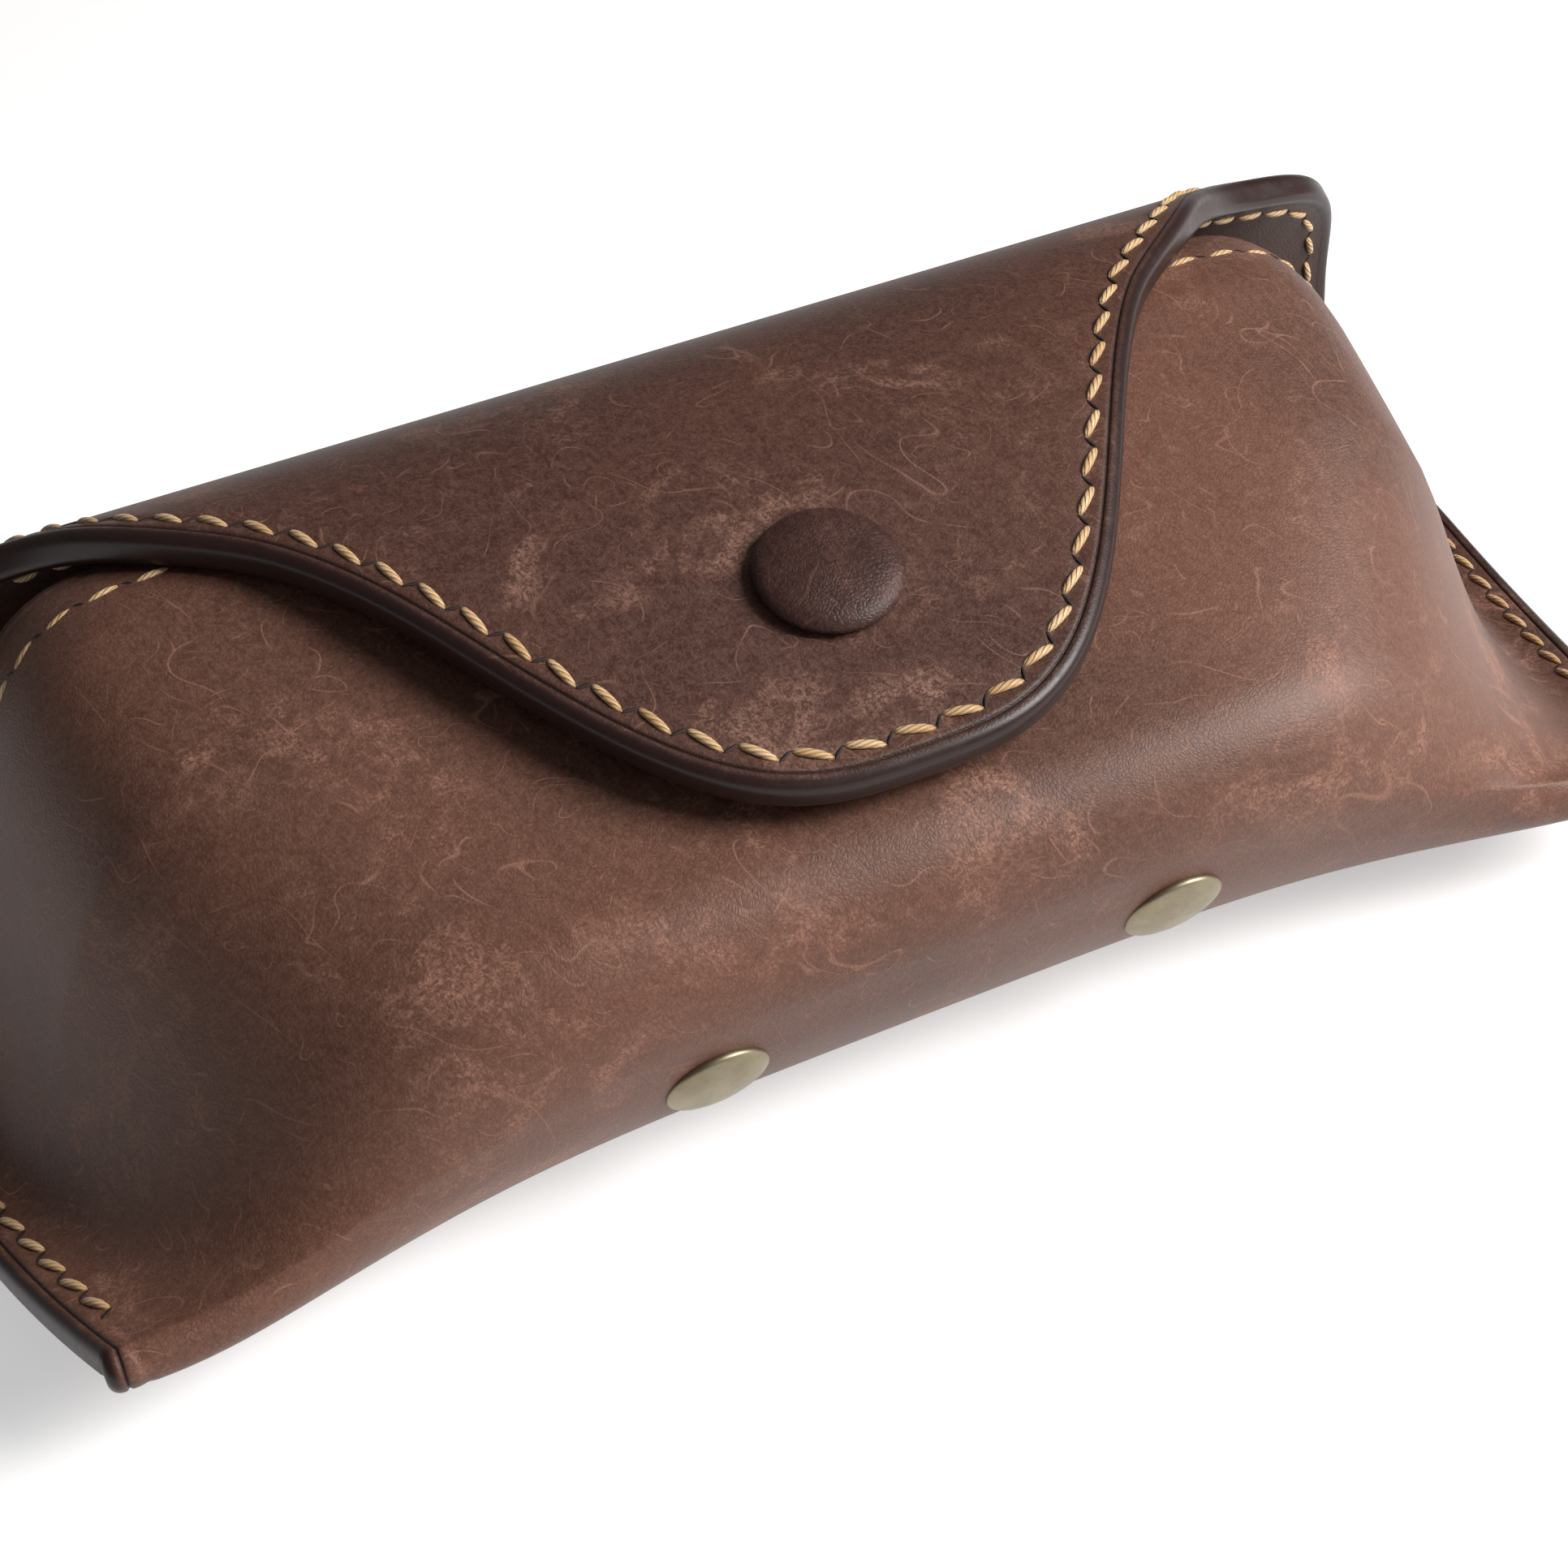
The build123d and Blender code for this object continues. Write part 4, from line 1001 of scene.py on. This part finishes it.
seam_threads = []
seam_slits = []
split_left = int(np.max(np.nonzero((hole_over > split_line) & (holes[:, 0] < 0))))
split_right = int(np.min(np.nonzero((hole_over > split_line) & (holes[:, 0] > 0))))
seam_part("flap", split_left, split_right, ("flap_thread",),
          0.60 * mm, 0.35 * mm)
seam_part("left_seam", 0, split_left, ("side_thread_left", "fold_thread_left"),
          0.35 * mm, 0.60 * mm)
seam_part("right_seam", split_right, len(holes) - 1,
          ("side_thread_right", "fold_thread_right"), 0.35 * mm, 0.60 * mm)

mouth_x = np.linspace(-1, 1, 400) * (mouth_half_width - flange_width - facing_side_margin)
mouth_v = 1 - mouth_stitch_inset / front_length
mouth_line = front_surface(mouth_x, np.full(mouth_x.shape, mouth_v))
below_mouth = front_surface(mouth_x, np.full(mouth_x.shape, mouth_v - 0.002))
mouth_inward_line = unit(below_mouth - mouth_line)
mouth_normal_line = unit(np.cross(mouth_inward_line, np.gradient(mouth_line, axis=0)))
mouth_normal_line *= np.sign(mouth_normal_line[:, 2:])
mouth_places = even_holes(mouth_line, stitch_pitch)
mouth_holes = at_places(mouth_line, mouth_places)
mouth_normals = unit(at_places(mouth_normal_line, mouth_places))
mouth_inward = unit(at_places(mouth_inward_line, mouth_places))
mouth_sides = ((mouth_holes, mouth_normals, mouth_stand),
               (mouth_holes - (front_leather + facing_leather) * mouth_normals, -mouth_normals, 0.0))
for side, (spots, normals, stand) in zip(("outer", "inner"), mouth_sides):
    thread = stitches(f"mouth_stitches_{side}", spots, mouth_inward, normals, mouth_slant,
                      np.full(len(spots), stand))
    slits = awl_hole_shades(f"mouth_awl_holes_{side}", spots, mouth_inward, normals, mouth_slant)
    for piece in (thread, slits):
        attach(piece, "case")
    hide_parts("mouth_thread")
    seam_threads.append(thread)
    seam_slits.append(slits)

thread_paint = bpy.data.materials.new("waxed_thread_paint")
tree, shader = shader_nodes(thread_paint)
wound = tree.nodes.new("ShaderNodeUVMap")
wound.uv_map = "UVMap"
split = tree.nodes.new("ShaderNodeSeparateXYZ")
link(tree, wound.outputs["UV"], split.inputs[0])
thread_place = tree.nodes.new("ShaderNodeTexCoord").outputs["Object"]
plies = 5
ply_turns = 4
phase = plus(tree, times(tree, split.outputs["X"], plies * 2 * math.pi),
             times(tree, split.outputs["Y"], ply_turns * 2 * math.pi))
ply = plus(tree, times(tree, calculate(tree, "SINE", phase, 0), 0.5), 0.5)
fibre = noise(tree, thread_place, 5200, 3, 0.6)
crowns = ramp(tree, ply, 0.02, 0.62)
uneven = ramp(tree, noise(tree, thread_place, 240, 2, 0.5), 0.3, 0.7)
colour = mix_colour(tree, uneven, (0.57, 0.350, 0.155), (0.75, 0.520, 0.280))
colour = mix_colour(tree, times(tree, ramp(tree, fibre, 0.5, 0.8), 0.3), colour, (0.84, 0.62, 0.34))
# Painted shade: each stitch darkens at both ends, where the thread sinks into its holes, and in the furrows
# between its plies.
ends = ramp(tree, calculate(tree, "ABSOLUTE", minus(tree, split.outputs["Y"], 0.5), 0), 0.34, 0.5)
painted_ply_shade = times(tree, minus(tree, 1.0, crowns), 0.55)
colour = mix_colour(tree, painted_ply_shade, colour, (0.27, 0.12, 0.04))
colour = mix_colour(tree, times(tree, ends, 0.7), colour, (0.17, 0.075, 0.03))
link(tree, colour, shader.inputs["Base Color"])
link(tree, plus(tree, times(tree, fibre, 0.2), 0.42), shader.inputs["Roughness"])
thread_bump = tree.nodes.new("ShaderNodeBump")
thread_bump.inputs["Distance"].default_value = 1.0
relief = plus(tree, times(tree, crowns, 0.06 * mm), times(tree, fibre, 0.02 * mm))
link(tree, relief, thread_bump.inputs["Height"])
link(tree, thread_bump.outputs["Normal"], shader.inputs["Normal"])
shader.inputs["Sheen Weight"].default_value = 0.15
for thread in seam_threads:
    thread.data.materials.append(thread_paint)

# Near-black with a little noise: the painted shade inside the awl holes.
hole_shade_paint = bpy.data.materials.new("awl_hole_painted_shade")
tree, shader = shader_nodes(hole_shade_paint)
slit_place = tree.nodes.new("ShaderNodeTexCoord").outputs["Object"]
slit_tone = ramp(tree, noise(tree, slit_place, 900, 2, 0.5), 0.35, 0.7)
colour = mix_colour(tree, slit_tone, (0.009, 0.005, 0.004), (0.022, 0.011, 0.008))
link(tree, colour, shader.inputs["Base Color"])
link(tree, plus(tree, times(tree, slit_tone, 0.2), 0.6), shader.inputs["Roughness"])
for slits in seam_slits:
    slits.data.materials.append(hole_shade_paint)


# Covered snap button
# A domed cap covered with the same leather, its skin pulled in under the rim and pressed on the flap.
snap_plan_y = 24 * mm
cover_radius = 6.2 * mm
cover_height = 2.3 * mm
cover_profile = np.array([(0, 1.0), (0.25, 0.99), (0.5, 0.955), (0.75, 0.86), (0.9, 0.72), (0.975, 0.56),
                          (1.0, 0.40), (0.95, 0.21), (0.86, 0.06), (0.82, 0.0)])
snap_over = float(np.interp(snap_plan_y, wrap_section(over_table)[0], over_table))
snap_spot, snap_up = (v.reshape(3) for v in wrap_surface(np.zeros(1), np.full(1, snap_over)))


def turned_shape(name, profile, centre, axis, steps, attribute=None):
    """Shape turned round an axis: profile points (radius, height) carried round a full circle, closed at the
    foot by a flat fan. The attribute gives one value for each profile point."""
    side = np.array([1.0, 0.0, 0.0]) - axis[0] * axis
    side /= np.linalg.norm(side)
    other = np.cross(axis, side)
    phi = np.arange(steps) / steps * 2 * math.pi
    ring = np.cos(phi)[:, None] * side + np.sin(phi)[:, None] * other
    points = centre + profile[:, None, :1] * ring[None] + profile[:, None, 1:] * axis
    index = np.arange(points[..., 0].size).reshape(points.shape[:2])
    following = np.roll(index, -1, axis=1)
    quads = np.stack([index[:-1], index[1:], following[1:], following[:-1]], -1).reshape(-1, 4)
    mesh = bpy.data.meshes.new(name)
    mesh.from_pydata(points.reshape(-1, 3).tolist(), [], quads.tolist() + [index[-1, ::-1].tolist()])
    if attribute is not None:
        layer = mesh.attributes.new("edge_distance", "FLOAT", "POINT")
        layer.data.foreach_set("value", np.repeat(attribute, steps).astype(np.float32))
    return finished(name, mesh)


cover_line = smooth_line(cover_profile * (cover_radius, cover_height), 46)
cover_line[0, 0] = 0.0
cover_foot = np.array([(0.82 * cover_radius, -0.15 * mm)])
cover_line = np.concatenate([cover_line, cover_foot])
cover_steps = np.linalg.norm(np.diff(cover_line[::-1], axis=0), axis=1)
cover_distance = np.concatenate([[0], np.cumsum(cover_steps)])[::-1]
button_cover = turned_shape("button_cover", cover_line, snap_spot, snap_up, 96,
                            cover_distance + 0.2 * mm)
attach(button_cover, "flap")
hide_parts("snap_cover")
button_leather = leather_material("button_leather", (0.048, 0.017, 0.012), (0.030, 0.010, 0.008),
                                  (0.20, 0.095, 0.070), 0.7, 1.7)
button_cover.data.materials.append(button_leather)


# Rivets
# Two low-domed caps with a plain rim, pressed through the front and the strip behind it. Brass, browned by
# age.
rivet_half_spacing = 20.9 * mm
rivet_height = 15.3 * mm
rivet_profile = np.array([(0, 1.12), (1.0, 1.09), (2.0, 0.99), (2.8, 0.86), (3.5, 0.68), (4.0, 0.50),
                          (4.25, 0.38), (4.42, 0.24), (4.5, 0.08), (4.5, -0.12), (4.4, -0.35)]) * mm
rivet_v = np.linspace(0.02, nose_share, 200)
rivet_line = front_surface(np.full(rivet_v.shape, rivet_half_spacing), rivet_v)
rivet_v = float(np.interp(rivet_height, rivet_line[:, 2], rivet_v))


def front_spot(x, v):
    """Point of the front's face with its outward normal, from small steps along both parameters."""
    step = 1e-4
    spot, beside, above = front_surface(np.array([x, x + step, x]), np.array([v, v, v + step]))
    normal = np.cross(beside - spot, above - spot)
    return spot, normal / np.linalg.norm(normal)


brass = bpy.data.materials.new("browned_brass")
tree, shader = shader_nodes(brass)
brass_place = tree.nodes.new("ShaderNodeTexCoord").outputs["Object"]
patina = ramp(tree, noise(tree, brass_place, 300, 4, 0.55), 0.35, 0.70)
specks = ramp(tree, noise(tree, brass_place, 2600, 3, 0.6), 0.55, 0.72)
colour = mix_colour(tree, patina, (0.24, 0.207, 0.138), (0.31, 0.266, 0.178))
colour = mix_colour(tree, times(tree, specks, 0.12), colour, (0.15, 0.135, 0.095))
link(tree, colour, shader.inputs["Base Color"])
shader.inputs["Metallic"].default_value = 1.0
link(tree, plus(tree, times(tree, specks, 0.10), 0.44), shader.inputs["Roughness"])
brass_bump = tree.nodes.new("ShaderNodeBump")
brass_bump.inputs["Distance"].default_value = 1.0
dents = times(tree, noise(tree, brass_place, 1500, 4, 0.6), 0.006 * mm)
link(tree, dents, brass_bump.inputs["Height"])
link(tree, brass_bump.outputs["Normal"], shader.inputs["Normal"])

for side, place_x in (("left", -rivet_half_spacing), ("right", rivet_half_spacing)):
    spot, outward = front_spot(place_x, rivet_v)
    rivet = turned_shape(f"rivet_cap_{side}", rivet_profile, spot, outward, 72)
    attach(rivet, "case")
    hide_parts("rivet_caps")
    rivet.data.materials.append(brass)


# Metal inside the flap and the front
# The snap's cap, socket, stud and eyelet and the rivets' inner caps are the same brass; the spring is steel.
steel = bpy.data.materials.new("spring_steel")
tree, shader = shader_nodes(steel)
steel_place = tree.nodes.new("ShaderNodeTexCoord").outputs["Object"]
drawn = ramp(tree, noise(tree, steel_place, 1800, 3, 0.5), 0.3, 0.7)
link(tree, mix_colour(tree, drawn, (0.42, 0.42, 0.43), (0.62, 0.62, 0.63)), shader.inputs["Base Color"])
shader.inputs["Metallic"].default_value = 1.0
link(tree, plus(tree, times(tree, drawn, 0.12), 0.25), shader.inputs["Roughness"])
for node_name, metal in (("snap_cap", brass), ("snap_socket", brass), ("snap_stud", brass),
                         ("snap_eyelet", brass), ("rivet_bases", brass), ("snap_spring", steel)):
    for place_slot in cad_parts[node_name].material_slots:
        place_slot.material = metal
